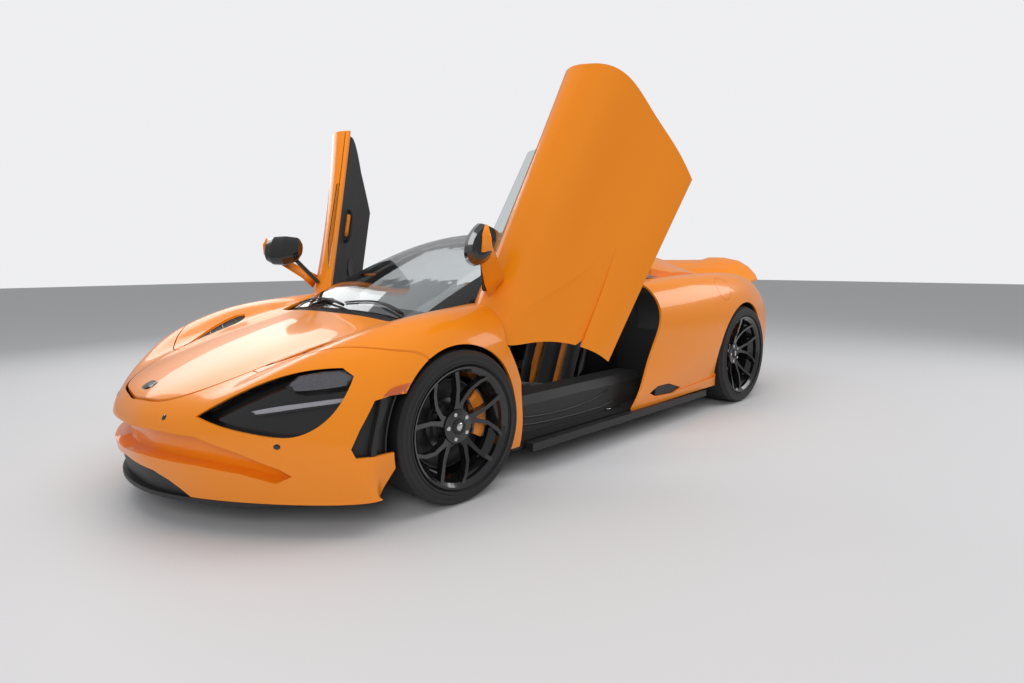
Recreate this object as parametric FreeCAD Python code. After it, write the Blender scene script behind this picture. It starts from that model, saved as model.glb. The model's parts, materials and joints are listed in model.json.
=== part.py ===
import FreeCAD
import Part
import math
import os

# Supercar with doors that swing up, one STEP file for each piece.
# Frame: +X forward, +Y to the left side, +Z up, origin on the ground at mid length.

# Overall sizes, millimetres
wheelbase = 2670.0
front_overhang = 1020.0
rear_overhang = 879.0
body_width = 1930.0
body_height = 1196.0
ride_clearance = 118.0

# Shell and gaps
skin_thickness = 14.0
frame_thickness = 30.0
glass_thickness = 6.0
panel_gap = 5.5
door_gap = 6.0
seat_clearance = 0.3
running_gap = 6.0
overrun = 400.0

# Wheels
front_tyre_radius = 326.0
front_tyre_width = 245.0
front_rim_radius = 258.5
front_track_half = 837.0
rear_tyre_radius = 345.0
rear_tyre_width = 305.0
rear_rim_radius = 271.5
rear_track_half = 806.0
rim_wall = 9.0
bead_gap = 0.6
hub_radius = 38.0
hub_bore = 32.0
spindle_radius = 31.7
disc_thickness = 32.0
front_disc_radius = 192.0
rear_disc_radius = 190.0
disc_bell_radius = 92.0
disc_offset = 26.0
spoke_pairs = 5
front_arch_radius = 350.0
rear_arch_radius = 376.0
arch_inner_half = 640.0
steer_angle = 30.0

# Doors
door_open_angle = 73.2
hinge_point = (909.0, 751.0, 718.0)
hinge_direction_shares = (0.257, 0.864, -0.433)
hinge_pin_radius = 14.0
door_skin = 22.0
door_depth = 96.0
glass_show = 38.0
belt_half = 700.0
sill_top = 168.0

# Bonnet
bonnet_rear_x = 1318.0
bonnet_front_x = 2221.0
bonnet_skin = 16.0

# Cabin
cabin_front_x = 1010.0
cabin_rear_x = -610.0
cabin_half = 560.0
floor_thickness = 34.0
bulkhead_thickness = 60.0
sill_height = 330.0
sill_half = 800.0
header_x = 325.0
roof_rear_x = -640.0

# Wing
wing_travel = 60.0
wing_bay_front_x = -1870.0

# Derived places
length = front_overhang + wheelbase + rear_overhang
half_width = body_width / 2
rear_axle_x = rear_overhang - length / 2
front_axle_x = rear_axle_x + wheelbase
nose_x = length / 2
tail_x = -length / 2


# The body surface is a spline net. Each row is a section from the centreline outwards,
# as shares: station along the car, share of half the width, share of the height.
# Stations run 0 to 1 between the axles, -1 at the tail and 2 at the nose.
def level(station, *section_shares):
    return tuple((station, across, up) for across, up in section_shares)


body_shares = (
    level(-1.018, (0, 0.715), (0.215, 0.715), (0.39, 0.715), (0.51, 0.708), (0.595, 0.69), (0.665, 0.648),
          (0.715, 0.59), (0.748, 0.52), (0.762, 0.44), (0.765, 0.351), (0.76, 0.276), (0.74, 0.226)),
    level(-0.733, (0, 0.735), (0.238, 0.735), (0.43, 0.738), (0.565, 0.738), (0.665, 0.728), (0.755, 0.69),
          (0.822, 0.632), (0.865, 0.555), (0.88, 0.46), (0.882, 0.351), (0.872, 0.259), (0.842, 0.201)),
    level(-0.358, (0, 0.745), (0.259, 0.745), (0.435, 0.748), (0.591, 0.76), (0.715, 0.778), (0.84, 0.758),
          (0.918, 0.7), (0.957, 0.605), (0.965, 0.485), (0.96, 0.351), (0.953, 0.234), (0.922, 0.151)),
    level(0, (0, 0.757), (0.259, 0.757), (0.415, 0.755), (0.58, 0.757), (0.705, 0.775), (0.85, 0.785),
          (0.953, 0.735), (1.003, 0.62), (1.003, 0.485), (0.995, 0.351), (0.974, 0.234), (0.943, 0.138)),
    level(0.133, (0, 0.778), (0.259, 0.778), (0.415, 0.772), (0.591, 0.765), (0.715, 0.773), (0.839, 0.781),
          (0.948, 0.728), (1.003, 0.607), (1.003, 0.477), (0.99, 0.351), (0.964, 0.234), (0.933, 0.134)),
    level(0.264, (0, 0.803), (0.259, 0.803), (0.415, 0.786), (0.601, 0.761), (0.715, 0.761), (0.829, 0.769),
          (0.922, 0.715), (0.979, 0.585), (0.974, 0.46), (0.959, 0.334), (0.948, 0.226), (0.922, 0.13)),
    level(0.395, (0, 0.786), (0.259, 0.786), (0.415, 0.769), (0.601, 0.744), (0.715, 0.74), (0.813, 0.744),
          (0.891, 0.694), (0.948, 0.569), (0.933, 0.443), (0.933, 0.326), (0.938, 0.217), (0.917, 0.125)),
    level(0.526, (0, 0.769), (0.259, 0.769), (0.415, 0.753), (0.601, 0.727), (0.715, 0.723), (0.798, 0.727),
          (0.865, 0.677), (0.917, 0.56), (0.891, 0.443), (0.902, 0.318), (0.933, 0.209), (0.912, 0.125)),
    level(0.657, (0, 0.744), (0.259, 0.744), (0.415, 0.736), (0.601, 0.715), (0.705, 0.711), (0.788, 0.715),
          (0.855, 0.669), (0.907, 0.552), (0.876, 0.435), (0.891, 0.309), (0.933, 0.205), (0.912, 0.125)),
    level(0.789, (0, 0.719), (0.259, 0.719), (0.435, 0.711), (0.601, 0.698), (0.694, 0.698), (0.782, 0.702),
          (0.86, 0.661), (0.917, 0.552), (0.896, 0.426), (0.907, 0.309), (0.938, 0.205), (0.917, 0.125)),
    level(0.901, (0, 0.686), (0.259, 0.686), (0.435, 0.681), (0.591, 0.669), (0.694, 0.686), (0.798, 0.694),
          (0.891, 0.656), (0.964, 0.552), (0.964, 0.426), (0.964, 0.309), (0.964, 0.205), (0.933, 0.125)),
    level(1, (0, 0.648), (0.259, 0.648), (0.435, 0.64), (0.575, 0.631), (0.684, 0.661), (0.808, 0.677),
          (0.917, 0.644), (0.99, 0.543), (0.995, 0.418), (0.99, 0.309), (0.979, 0.205), (0.943, 0.125)),
    level(1.231, (0, 0.606), (0.259, 0.606), (0.425, 0.598), (0.56, 0.589), (0.674, 0.631), (0.798, 0.656),
          (0.912, 0.619), (0.987, 0.518), (0.995, 0.401), (0.99, 0.301), (0.979, 0.201), (0.943, 0.117)),
    ((1.476, 0, 0.556), (1.476, 0.228, 0.556), (1.471, 0.404, 0.548), (1.456, 0.539, 0.543), (1.447, 0.653, 0.577),
     (1.437, 0.777, 0.602), (1.417, 0.896, 0.569), (1.388, 0.979, 0.477), (1.368, 0.992, 0.385),
     (1.358, 0.984, 0.293), (1.349, 0.974, 0.201), (1.349, 0.943, 0.117)),
    ((1.701, 0, 0.497), (1.701, 0.207, 0.497), (1.687, 0.373, 0.489), (1.662, 0.508, 0.481), (1.643, 0.622, 0.518),
     (1.608, 0.736, 0.543), (1.554, 0.85, 0.51), (1.486, 0.953, 0.418), (1.437, 0.984, 0.334),
     (1.407, 0.984, 0.268), (1.388, 0.974, 0.196), (1.378, 0.943, 0.117)),
    ((1.868, 0, 0.439), (1.868, 0.187, 0.439), (1.839, 0.342, 0.435), (1.809, 0.466, 0.431), (1.77, 0.58, 0.456),
     (1.711, 0.694, 0.464), (1.633, 0.813, 0.431), (1.545, 0.922, 0.36), (1.481, 0.974, 0.297),
     (1.437, 0.984, 0.234), (1.407, 0.979, 0.184), (1.393, 0.953, 0.117)),
    ((1.986, 0, 0.376), (1.986, 0.166, 0.376), (1.951, 0.311, 0.372), (1.912, 0.435, 0.368), (1.858, 0.549, 0.38),
     (1.78, 0.668, 0.38), (1.687, 0.793, 0.347), (1.584, 0.902, 0.293), (1.515, 0.964, 0.242),
     (1.456, 0.984, 0.201), (1.417, 0.979, 0.163), (1.398, 0.964, 0.117)),
    ((2.012, 0, 0.284), (2.012, 0.155, 0.284), (1.966, 0.301, 0.272), (1.927, 0.425, 0.263), (1.868, 0.539, 0.263),
     (1.79, 0.663, 0.259), (1.692, 0.788, 0.242), (1.589, 0.896, 0.213), (1.525, 0.959, 0.184),
     (1.466, 0.984, 0.159), (1.427, 0.984, 0.138), (1.407, 0.974, 0.113)),
    ((1.966, 0, 0.109), (1.966, 0.155, 0.109), (1.927, 0.301, 0.109), (1.878, 0.425, 0.109), (1.819, 0.539, 0.109),
     (1.741, 0.663, 0.109), (1.657, 0.782, 0.109), (1.564, 0.891, 0.109), (1.496, 0.953, 0.109),
     (1.447, 0.984, 0.109), (1.417, 0.99, 0.109), (1.398, 0.984, 0.109)),
)


# A greenhouse section: crown height, roof edge and belt, as shares of the height and half width.
def glass_section(station, crown, edge_y, edge_z, belt_y, belt_z):
    return level(station, (0, crown), (0.45 * edge_y, crown), (0.85 * edge_y, 0.38 * edge_z + 0.62 * crown),
                 (1.06 * edge_y, edge_z), (0.45 * edge_y + 0.55 * belt_y, 0.58 * edge_z + 0.42 * belt_z),
                 (belt_y, belt_z), (belt_y + 0.02, belt_z - 0.1))


greenhouse_shares = (
    glass_section(-0.335, 0.775, 0.435, 0.75, 0.65, 0.72),
    glass_section(0.04, 0.836, 0.445, 0.811, 0.684, 0.753),
    glass_section(0.189, 0.92, 0.466, 0.885, 0.715, 0.753),
    glass_section(0.32, 0.976, 0.477, 0.94, 0.736, 0.753),
    glass_section(0.433, 1.003, 0.487, 0.967, 0.746, 0.744),
    glass_section(0.545, 1.008, 0.49, 0.973, 0.741, 0.736),
    glass_section(0.657, 0.985, 0.49, 0.943, 0.731, 0.727),
    glass_section(0.77, 0.905, 0.497, 0.863, 0.715, 0.711),
    glass_section(0.882, 0.79, 0.508, 0.757, 0.694, 0.686),
    glass_section(0.976, 0.688, 0.518, 0.661, 0.663, 0.615),
    glass_section(1.09, 0.6, 0.518, 0.585, 0.642, 0.56),
)


def at(x, y, z):
    return FreeCAD.Vector(x, y, z)


def along(station):
    if station < 0:
        return rear_axle_x + station * rear_overhang
    if station <= 1:
        return rear_axle_x + station * wheelbase
    return front_axle_x + (station - 1) * front_overhang


def net_poles(rows_shares):
    return [[FreeCAD.Vector(along(s), y * half_width, z * body_height) for s, y, z in row]
            for row in rows_shares]


def spline_surface(half_rows):
    rows = [[FreeCAD.Vector(p.x, -p.y, p.z) for p in row[:0:-1]] + list(row) for row in half_rows]
    count_u = len(rows)
    count_v = len(rows[0])
    surface = Part.BSplineSurface()
    mults_u = [4] + [1] * (count_u - 4) + [4]
    mults_v = [4] + [1] * (count_v - 4) + [4]
    knots_u = [float(i) for i in range(count_u - 2)]
    knots_v = [float(i) for i in range(count_v - 2)]
    surface.buildFromPolesMultsKnots(rows, mults_u, mults_v, knots_u, knots_v, False, False, 3, 3)
    return surface


# Poles moved inwards along the surface normal. The hollow runs out past the tail, the nose's foot
# and the sills, so that the skin cut with it is open there.
def inner_rows(half_rows, depth):
    surface = spline_surface(half_rows)
    count_u = len(half_rows)
    count_v = len(half_rows[0])
    last_u = count_u - 3
    last_v = 2 * count_v - 1 - 3
    moved = []
    for i, row in enumerate(half_rows):
        u = sum(min(max(i + k - 3, 0), last_u) for k in (1, 2, 3)) / 3
        new_row = []
        for j, p in enumerate(row):
            col = j + count_v - 1
            v = sum(min(max(col + k - 3, 0), last_v) for k in (1, 2, 3)) / 3
            n = surface.normal(u, v)
            if n.dot(p - at(p.x, 0, body_height / 3)) < 0:
                n = n * -1
            q = p - n * depth
            if j == 0:
                q.y = 0
            new_row.append(q)
        foot = new_row[-1]
        new_row.append(at(foot.x, foot.y, foot.z - depth))
        new_row.append(at(foot.x, foot.y, foot.z - overrun))
        moved.append(new_row)
    start_x = half_rows[0][0].x
    tail = [[at(start_x - run, q.y, q.z) for q in moved[0]] for run in (overrun, depth)]
    lowest = moved[-1][-1].z
    nose = [[at(q.x, q.y, q.z - depth) for q in moved[-1]], [at(q.x, q.y, lowest) for q in moved[-1]]]
    return tail + moved + nose


def hull_solid(half_rows):
    face = spline_surface(half_rows).toShape()
    first = half_rows[0]
    last = half_rows[-1]

    def edge_near(point):
        return min(face.Edges, key=lambda e: e.distToShape(Part.Vertex(point))[0])

    mid = len(half_rows) // 2
    left = min(face.Edges, key=lambda e: abs(e.CenterOfMass.y - half_rows[mid][-1].y))
    right = min(face.Edges, key=lambda e: abs(e.CenterOfMass.y + half_rows[mid][-1].y))
    faces = [face, Part.makeRuledSurface(left, right)]
    for row, probe in ((first, first[0]), (last, last[0])):
        rim = edge_near(probe)
        chord = Part.makeLine(row[-1], FreeCAD.Vector(row[-1].x, -row[-1].y, row[-1].z))
        faces.append(Part.Face(Part.Wire(Part.__sortEdges__([rim, chord]))))
    shell = Part.makeShell(faces)
    shell.sewShape()
    solid = Part.Solid(Part.Shell(shell.Faces))
    if solid.Volume < 0:
        solid.reverse()
    return solid


def box(x0, x1, y0, y1, z0, z1):
    return Part.makeBox(x1 - x0, y1 - y0, z1 - z0, at(x0, y0, z0))


def mirror(shape):
    return shape.mirror(at(0, 0, 0), at(0, 1, 0))


def both_sides(shape):
    return Part.makeCompound([shape, mirror(shape)])


# An outline's corners moved outwards, or inwards if grow is negative.
def grown(points, grow):
    count = len(points)
    area = sum(points[i - 1][0] * points[i][1] - points[i][0] * points[i - 1][1] for i in range(count))
    turn = 1 if area > 0 else -1
    moved = []
    for i, (px, py) in enumerate(points):
        before = points[i - 1]
        after = points[(i + 1) % count]
        ax, ay = px - before[0], py - before[1]
        bx, by = after[0] - px, after[1] - py
        a_len, b_len = math.hypot(ax, ay), math.hypot(bx, by)
        n1 = (turn * ay / a_len, -turn * ax / a_len)
        n2 = (turn * by / b_len, -turn * bx / b_len)
        share = grow / max(1 + n1[0] * n2[0] + n1[1] * n2[1], 0.4)
        moved.append((px + (n1[0] + n2[0]) * share, py + (n1[1] + n2[1]) * share))
    return moved


# A closed outline in one plane. Each run in smooth, first and last corner, is one curve.
def outline_face(points, plane, smooth=(), grow=0.0):
    def place(p):
        return {"xz": at(p[0], 0, p[1]), "xy": at(p[0], p[1], 0), "yz": at(0, p[0], p[1])}[plane]

    corners = grown(points, grow) if grow else points
    edges = []
    count = len(corners)
    i = 0
    while i < count:
        run = next((r for r in smooth if r[0] == i), None)
        if run:
            curve = Part.BSplineCurve()
            curve.interpolate([place(corners[k % count]) for k in range(run[0], run[1] + 1)])
            edges.append(curve.toShape())
            i = run[1]
        else:
            edges.append(Part.makeLine(place(corners[i]), place(corners[(i + 1) % count])))
            i += 1
    return Part.Face(Part.Wire(Part.__sortEdges__(edges)))


def push(face, plane, low, high):
    axis = {"xz": at(0, 1, 0), "xy": at(0, 0, 1), "yz": at(1, 0, 0)}[plane]
    moved = face.copy()
    moved.translate(axis * low)
    return moved.extrude(axis * (high - low))


def prism(points, plane, low, high, smooth=(), grow=0.0):
    return push(outline_face(list(points), plane, smooth, grow), plane, low, high)


def rod(start, end, radius):
    a = at(*start)
    b = at(*end)
    return Part.makeCylinder(radius, (b - a).Length, a, b - a)


def across(x, y0, y1, z, radius):
    return Part.makeCylinder(radius, y1 - y0, at(x, y0, z), at(0, 1, 0))


# A profile of (radius, y) points turned round the wheel axis.
def turned(points, x, z):
    wire = Part.makePolygon([at(x, y, z + r) for r, y in points] + [at(x, points[0][1], z + points[0][0])])
    ring = Part.Face(wire).revolve(at(x, 0, z), at(0, 1, 0), 360)
    if ring.Volume < 0:
        ring.reverse()
    return ring


def one_solid(shape):
    solids = sorted(shape.Solids, key=lambda s: s.Volume)
    return solids[-1]


def clean(shape, least=2000.0):
    solids = [s for s in shape.Solids if s.Volume > least]
    return solids[0] if len(solids) == 1 else Part.makeCompound(solids)


outer_rows = net_poles(body_shares)
body_outer = hull_solid(outer_rows)
body_inner = hull_solid(inner_rows(outer_rows, skin_thickness))
body_seat = hull_solid(inner_rows(outer_rows, skin_thickness + seat_clearance))
body_clear = hull_solid(inner_rows(outer_rows, -seat_clearance))
print("hulls", body_outer.isValid(), body_inner.isValid(), round(body_outer.Volume / 1e9, 3))

glass_rows = net_poles(greenhouse_shares)
house_outer = hull_solid(glass_rows)
house_glass = hull_solid(inner_rows(glass_rows, glass_thickness))
house_inner = hull_solid(inner_rows(glass_rows, frame_thickness))
print("house", house_outer.isValid(), house_inner.isValid())


def layer(outside, inside):
    outer = hull_solid(inner_rows(outer_rows, outside)) if outside else body_outer
    return outer.cut(hull_solid(inner_rows(outer_rows, inside)))


# An opening seen along one direction, through corners that lie on the body.
def cast(corners, direction, smooth, grow=0.0):
    flat = [(y - direction[1] * x, z - direction[2] * x) for x, y, z in corners]
    return outline_face(flat, "yz", smooth, grow).extrude(at(*direction) * (nose_x + overrun))


# The tail is trimmed by an upright cylinder, so that the rear face bows in plan.
tail_corner_y = 750.0
tail_corner_x = -2150.0
tail_sag = tail_corner_x - tail_x
tail_bow = (tail_corner_y ** 2 + tail_sag ** 2) / (2 * tail_sag)
tail_trim = Part.makeCylinder(tail_bow, 2 * body_height, at(tail_x + tail_bow, 0, -body_height / 2))
tail_trim = tail_trim.fuse(box(rear_axle_x, nose_x + overrun, -half_width * 2, half_width * 2,
                               -overrun, 2 * body_height))
body_outer = body_outer.common(tail_trim)

front_arch = across(front_axle_x, arch_inner_half, half_width + overrun, front_tyre_radius, front_arch_radius)
rear_arch = across(rear_axle_x, arch_inner_half, half_width + overrun, rear_tyre_radius, rear_arch_radius)
arches = [front_arch, mirror(front_arch), rear_arch, mirror(rear_arch)]
skin = body_outer.cut(body_inner).cut(Part.makeCompound(arches))

# Shut lines
bonnet_half_outline = ((bonnet_front_x, 0), (2214, 77), (2191, 211), (2153, 285), (1984, 409), (1786, 461),
                       (1593, 492), (bonnet_rear_x, 532))
bonnet_outline = list(bonnet_half_outline[:0:-1]) + [(x, -y) for x, y in bonnet_half_outline]
bonnet_runs = ((0, 2 * len(bonnet_half_outline) - 2),)
door_outline = ((806, 1000), (853, 800), (957, 645), (900, 540), (843, 400), (838, sill_top), (-88, sill_top),
                (-190, 330), (-262, 468), (-350, 700), (-330, 816), (-262, 1000))
door_runs = ((1, 5), (6, 10))
headlamp_corners = ((2147, 463, 452), (2039, 576, 537), (1925, 689, 599), (1814, 794, 627), (1756, 841, 629),
                    (1732, 877, 600), (1785, 883, 520), (1843, 860, 449), (1927, 795, 395), (2019, 691, 397),
                    (2112, 555, 427))
headlamp_way = (1.0, 0.3, 0.15)
headlamp_runs = ((0, 4), (5, 11))
lamp_unit_corners = ((1932, 722, 564), (1888, 738, 604), (1822, 794, 619), (1752, 850, 622), (1736, 876, 601),
                     (1769, 873, 568), (1841, 822, 557), (1906, 761, 551))
lamp_blade_corners = ((2052, 625, 478), (1978, 710, 500), (1787, 880, 530), (1793, 882, 507), (1905, 791, 487),
                      (2031, 660, 462))
mouth_half = ((0, 380), (274, 386), (480, 381), (624, 331), (745, 271), (775, 245), (723, 215), (617, 248),
              (463, 270), (176, 276), (0, 264))
mouth_outline = list(mouth_half) + [(-y, z) for y, z in mouth_half[-2:0:-1]]
foot_half = ((0, 234), (132, 228), (236, 219), (315, 190), (360, 163), (405, 125), (405, 80))
foot_outline = list(foot_half) + [(-y, z) for y, z in foot_half[:0:-1]]
side_vent_outline = ((1480, 520), (1627, 520), (1686, 509), (1749, 410), (1783, 342), (1770, 307), (1700, 302),
                     (1400, 292), (1400, 520))
vane_outline = ((1655, 530), (1633, 530), (1640, 480), (1676, 400), (1695, 280), (1715, 280), (1711, 331), (1694, 400))
fender_outline = ((700, 0), (1915, 0), (1915, 480), (1855, 600), (1745, 740), (1651, 835), (1566, 888),
                  (1448, 927), (1419, 940), (1405, 1400), (700, 1400))
fender_runs = ((2, 8),)
top_vent_outline = ((1886, 448), (1823, 490), (1727, 552), (1635, 595), (1545, 622), (1503, 610), (1512, 578),
                    (1565, 532), (1650, 500), (1786, 475))
wing_bay_outline = ((-900, 738), (-660, 738), (-620, 814), (620, 814), (660, 738), (900, 738), (900, 1500),
                    (-900, 1500))
bumper_split_x = -1930.0
deck_half = 600.0
deck_front_x = -655.0


wide = half_width + overrun
tall = body_height + overrun
bonnet_zone = prism(bonnet_outline, "xy", 300, tall, bonnet_runs)
bonnet_gap_zone = prism(bonnet_outline, "xy", 300, tall, bonnet_runs, panel_gap)
bonnet_lift_gap = 6.0
bonnet_lift_zone = bonnet_gap_zone.copy()
bonnet_lift_zone.translate(at(bonnet_lift_gap, 0, 0))
wing_bay = prism(wing_bay_outline, "yz", tail_x - overrun, wing_bay_front_x)
door_zone = prism(door_outline, "xz", belt_half, wide, door_runs)
door_gap_zone = prism(door_outline, "xz", belt_half - door_gap, wide, door_runs, door_gap)
cabin_outline = ((1316, -540), (1316, 540), (1180, 610), (1000, 670), (800, belt_half), (-652, belt_half),
                 (-652, -belt_half), (800, -belt_half), (1000, -670), (1180, -610))
cabin_zone = prism(cabin_outline, "xy", 560, tall)
deck_zone = box(tail_x - overrun, deck_front_x, -deck_half, deck_half, 840, tall)
deck_gap_zone = box(tail_x - overrun, deck_front_x + panel_gap, -deck_half - panel_gap, deck_half + panel_gap,
                    840, tall)
headlamp_hole = cast(headlamp_corners, headlamp_way, headlamp_runs)
mouth_hole = prism(mouth_outline, "yz", 1700, nose_x + overrun)
side_vent_zone = prism(side_vent_outline, "xz", 600, wide)
foot_hole = prism(foot_outline, "yz", 1700, nose_x + overrun)
fender_zone = prism(fender_outline, "xy", 0, tall, fender_runs)
fender_gap_zone = prism(fender_outline, "xy", 0, tall, fender_runs, panel_gap)

# Outer panels
bonnet = body_outer.cut(hull_solid(inner_rows(outer_rows, bonnet_skin))).common(bonnet_zone)
front_skin = skin.cut(Part.makeCompound([bonnet_gap_zone, bonnet_lift_zone, cabin_zone]))
left_holes = Part.makeCompound([headlamp_hole, side_vent_zone])
fender_left = one_solid(front_skin.common(fender_zone).cut(left_holes).cut(door_gap_zone)
                        .common(box(870, nose_x, 0, wide, 0, tall)))
nose_skin = front_skin.cut(Part.makeCompound([fender_gap_zone, mirror(fender_gap_zone), mouth_hole, foot_hole]))
nose_skin = nose_skin.cut(left_holes).cut(mirror(left_holes))
heel_outline = ((1300, 0), (1685, 0), (1655, 150), (1600, 235), (1300, 300))
heel_room = prism(heel_outline, "xz", -wide, wide)
bumper_front = one_solid(nose_skin.common(box(1400, nose_x + overrun, -wide, wide, 0, tall)).cut(heel_room))
rear_skin = skin.cut(Part.makeCompound([cabin_zone, deck_gap_zone, wing_bay]))
quarter_left = one_solid(rear_skin.common(box(bumper_split_x + panel_gap, -90, 0, wide, 150, tall))
                         .cut(door_gap_zone))
deck = one_solid(skin.common(deck_zone).cut(wing_bay))
flank_outline = ((-60, 214), (-220, 248), (-550, 329), (-779, 404), (-1042, 476), (-1042, 226), (-620, 200),
                 (-331, 190), (-60, 190))
flank_start = (-220, 900, 250)
flank_way = (-822, 20, 226)
flank_turn = 2.6
flank_body = body_outer.copy()
flank_body.rotate(at(*flank_start), at(*flank_way), flank_turn)
flank = prism(flank_outline, "xz", belt_half, wide, ((1, 4),)).cut(flank_body)
flank_hole = prism(((-258, 229), (-339, 262), (-462, 262), (-621, 214), (-524, 190), (-328, 200)), "xz", belt_half, wide)
print("flank", round(quarter_left.common(flank).Volume))
quarter_left = one_solid(quarter_left.cut(flank).cut(flank_hole))

# A leaf-shaped recess in the fender's top, and the groove round the fuel flap
top_vent_depth = 9.0
top_vent = prism(top_vent_outline, "xy", 500, tall, ((0, 4), (5, 10))).cut(
    hull_solid(inner_rows(outer_rows, top_vent_depth)))
fender_left = one_solid(fender_left.cut(top_vent))
flap_place = (-1107, 922, 832)
flap_way = (0.0, 0.86, 0.5)
flap_radius = 84.0
flap_groove = Part.makeCylinder(flap_radius, 120, at(*flap_place) - at(*flap_way) * 60, at(*flap_way))
flap_groove = flap_groove.cut(Part.makeCylinder(flap_radius - 3.5, 120, at(*flap_place) - at(*flap_way) * 60,
                                                at(*flap_way)))
flap_groove = flap_groove.cut(hull_solid(inner_rows(outer_rows, 4)))
quarter_left = one_solid(quarter_left.cut(flap_groove))

# Rear face: a frame that closes the tail, with the mesh, lamps and exhaust in it
rear_wall = 16.0
rear_top = 840.0
grille_half = 600.0
grille_low = 505.0
grille_high = 758.0
lamp_low = 806.0
diffuser_high = 330.0
face_slab = tail_trim.cut(Part.makeCylinder(tail_bow - rear_wall, 2 * body_height,
                                            at(tail_x + tail_bow, 0, -body_height / 2)))
face_slab = face_slab.common(box(tail_x - overrun, -1980, -wide, wide, 0, rear_top))
rear_frame = body_outer.common(face_slab).cut(wing_bay)
grille_points = ((-grille_half, grille_low), (grille_half, grille_low), (590, grille_high),
                 (-590, grille_high))
diffuser_points = ((-640, 0), (640, 0), (560, diffuser_high), (-560, diffuser_high))
rear_frame = rear_frame.cut(prism(grille_points, "yz", tail_x - overrun, -1900))
rear_frame = rear_frame.cut(prism(diffuser_points, "yz", tail_x - overrun, -1900))
lamp_points = ((400, 776), (602, 776), (640, 702), (690, 702), (690, 718), (651, 718), (613, 794), (400, 794))
tail_lamp = rear_frame.common(prism(lamp_points, "yz", tail_x - overrun, -1900, (), -seat_clearance))
lamp_slots = prism(lamp_points, "yz", tail_x - overrun, -1900)
rear_frame = rear_frame.cut(Part.makeCompound([lamp_slots, mirror(lamp_slots)]))
side_ring = rear_skin.common(box(tail_x - overrun, bumper_split_x, -wide, wide, 0, rear_top))
bumper_rear = one_solid(side_ring.fuse(rear_frame))

# Mesh panel set back behind the frame, and the lamp strips under the deck's edge
mesh_depth = 46.0
mesh_wall = 12.0
mesh_panel = Part.makeCylinder(tail_bow - rear_wall - seat_clearance, 2 * body_height,
                               at(tail_x + tail_bow, 0, -body_height / 2))
mesh_panel = mesh_panel.cut(Part.makeCylinder(tail_bow - rear_wall - mesh_wall, 2 * body_height,
                                              at(tail_x + tail_bow, 0, -body_height / 2)))
mesh_panel = mesh_panel.common(prism(grille_points, "yz", tail_x, -1950, (), 14)).common(body_inner)
exhaust_half = 150.0
exhaust_z = 640.0
exhaust_radius = 52.0
pipe_wall = 3.0
exhaust_holes = [Part.makeCylinder(exhaust_radius + running_gap, 600, at(tail_x - 100, y, exhaust_z), at(1, 0, 0))
                 for y in (-exhaust_half, exhaust_half)]
rear_grille = one_solid(mesh_panel.cut(Part.makeCompound(exhaust_holes)))

# Doors, drawn shut: an outer shell, a thick trimmed inside, a strip of lowered glass and a mirror
door_inside = hull_solid(inner_rows(outer_rows, door_skin))
door_shell = one_solid(body_outer.cut(door_inside).common(door_zone))
scoop_outline = ((9, 395), (231, 394), (376, 402), (433, 417), (496, 444), (622, 523), (710, 589), (811, 661),
                 (1100, 870), (1100, 318), (850, 322), (557, 336), (297, 363))
scoop_runs = ((0, 7),)
scoop_start = (400, 868, 405)
scoop_way = (411, 22, 256)
scoop_turn = 4.6
scoop_body = body_outer.copy()
scoop_body.rotate(at(*scoop_start), at(*scoop_way), -scoop_turn)
scoop = prism(scoop_outline, "xz", belt_half, wide, scoop_runs).cut(scoop_body)
print("scoop", round(door_shell.common(scoop).Volume), round(door_shell.common(scoop).BoundBox.YLength))
door_shell = one_solid(door_shell.cut(scoop))
trim_inset = 24.0
trim_front_x = 780.0
trim_section = ((wide, sill_top), (798, sill_top), (786, 330), (772, 480), (744, 660), (716, 800), (716, tall),
                (wide, tall))
trim_zone = prism(door_outline, "xz", 0, wide, door_runs, -trim_inset)
trim_zone = trim_zone.common(prism(trim_section, "yz", -1000, 1200))
trim_core = hull_solid(inner_rows(outer_rows, door_skin + 2 * seat_clearance))
door_trim = one_solid(trim_core.common(trim_zone).common(box(-overrun, trim_front_x, 0, wide, 0, 868)))
glass_sheet = house_outer.cut(house_glass)
glass_outline = ((-235, 868.3), (-285, 905), (640, 880), (700, 850), (640, 868.3))
pane_outline = ((60, 842), (110, 894), (520, 894), (680, 842))
door_pane = one_solid(box(-400, 900, 724, 730, 842, 930).common(prism(pane_outline, "xz", 0, wide)))
pane_slot = box(-400, 900, 724 - seat_clearance, 730 + seat_clearance, 842 - seat_clearance, 935)
door_trim = one_solid(door_trim.cut(pane_slot))
door_shell = one_solid(door_shell.cut(pane_slot))

# Mirror: a stalk on the door's front top corner and a shell with its glass side to the rear
mirror_root = (770, 742, 858)
mirror_seat = (790, 800, 880)
stalk_radius = 13.0
mirror_centre = (600, 985, 952)
mirror_size = (102, 112, 62)


def ellipse_ring(centre_x, y, centre_z, half_x, half_z):
    curve = Part.Ellipse(at(centre_x + half_x, y, centre_z), at(centre_x, y, centre_z + half_z),
                         at(centre_x, y, centre_z))
    return Part.Wire(curve.toShape())


mirror_shares = ((-1, 0.45), (-0.8, 0.78), (-0.2, 1), (0.5, 0.94), (0.9, 0.7), (1, 0.5))
mirror_rings = [ellipse_ring(mirror_centre[0], mirror_centre[1] + run * mirror_size[1], mirror_centre[2],
                             mirror_size[0] * size, mirror_size[2] * size) for run, size in mirror_shares]
mirror_shell = Part.makeLoft(mirror_rings, True, True)
mirror_shell = mirror_shell.cut(box(mirror_centre[0] - 300, mirror_centre[0] - 70, 0, wide, 0, tall))
stalk = rod((770, 790, 825), (630, 940, 925), stalk_radius)
door_mirror = one_solid(mirror_shell.fuse(stalk).cut(door_shell).cut(door_trim))

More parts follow.
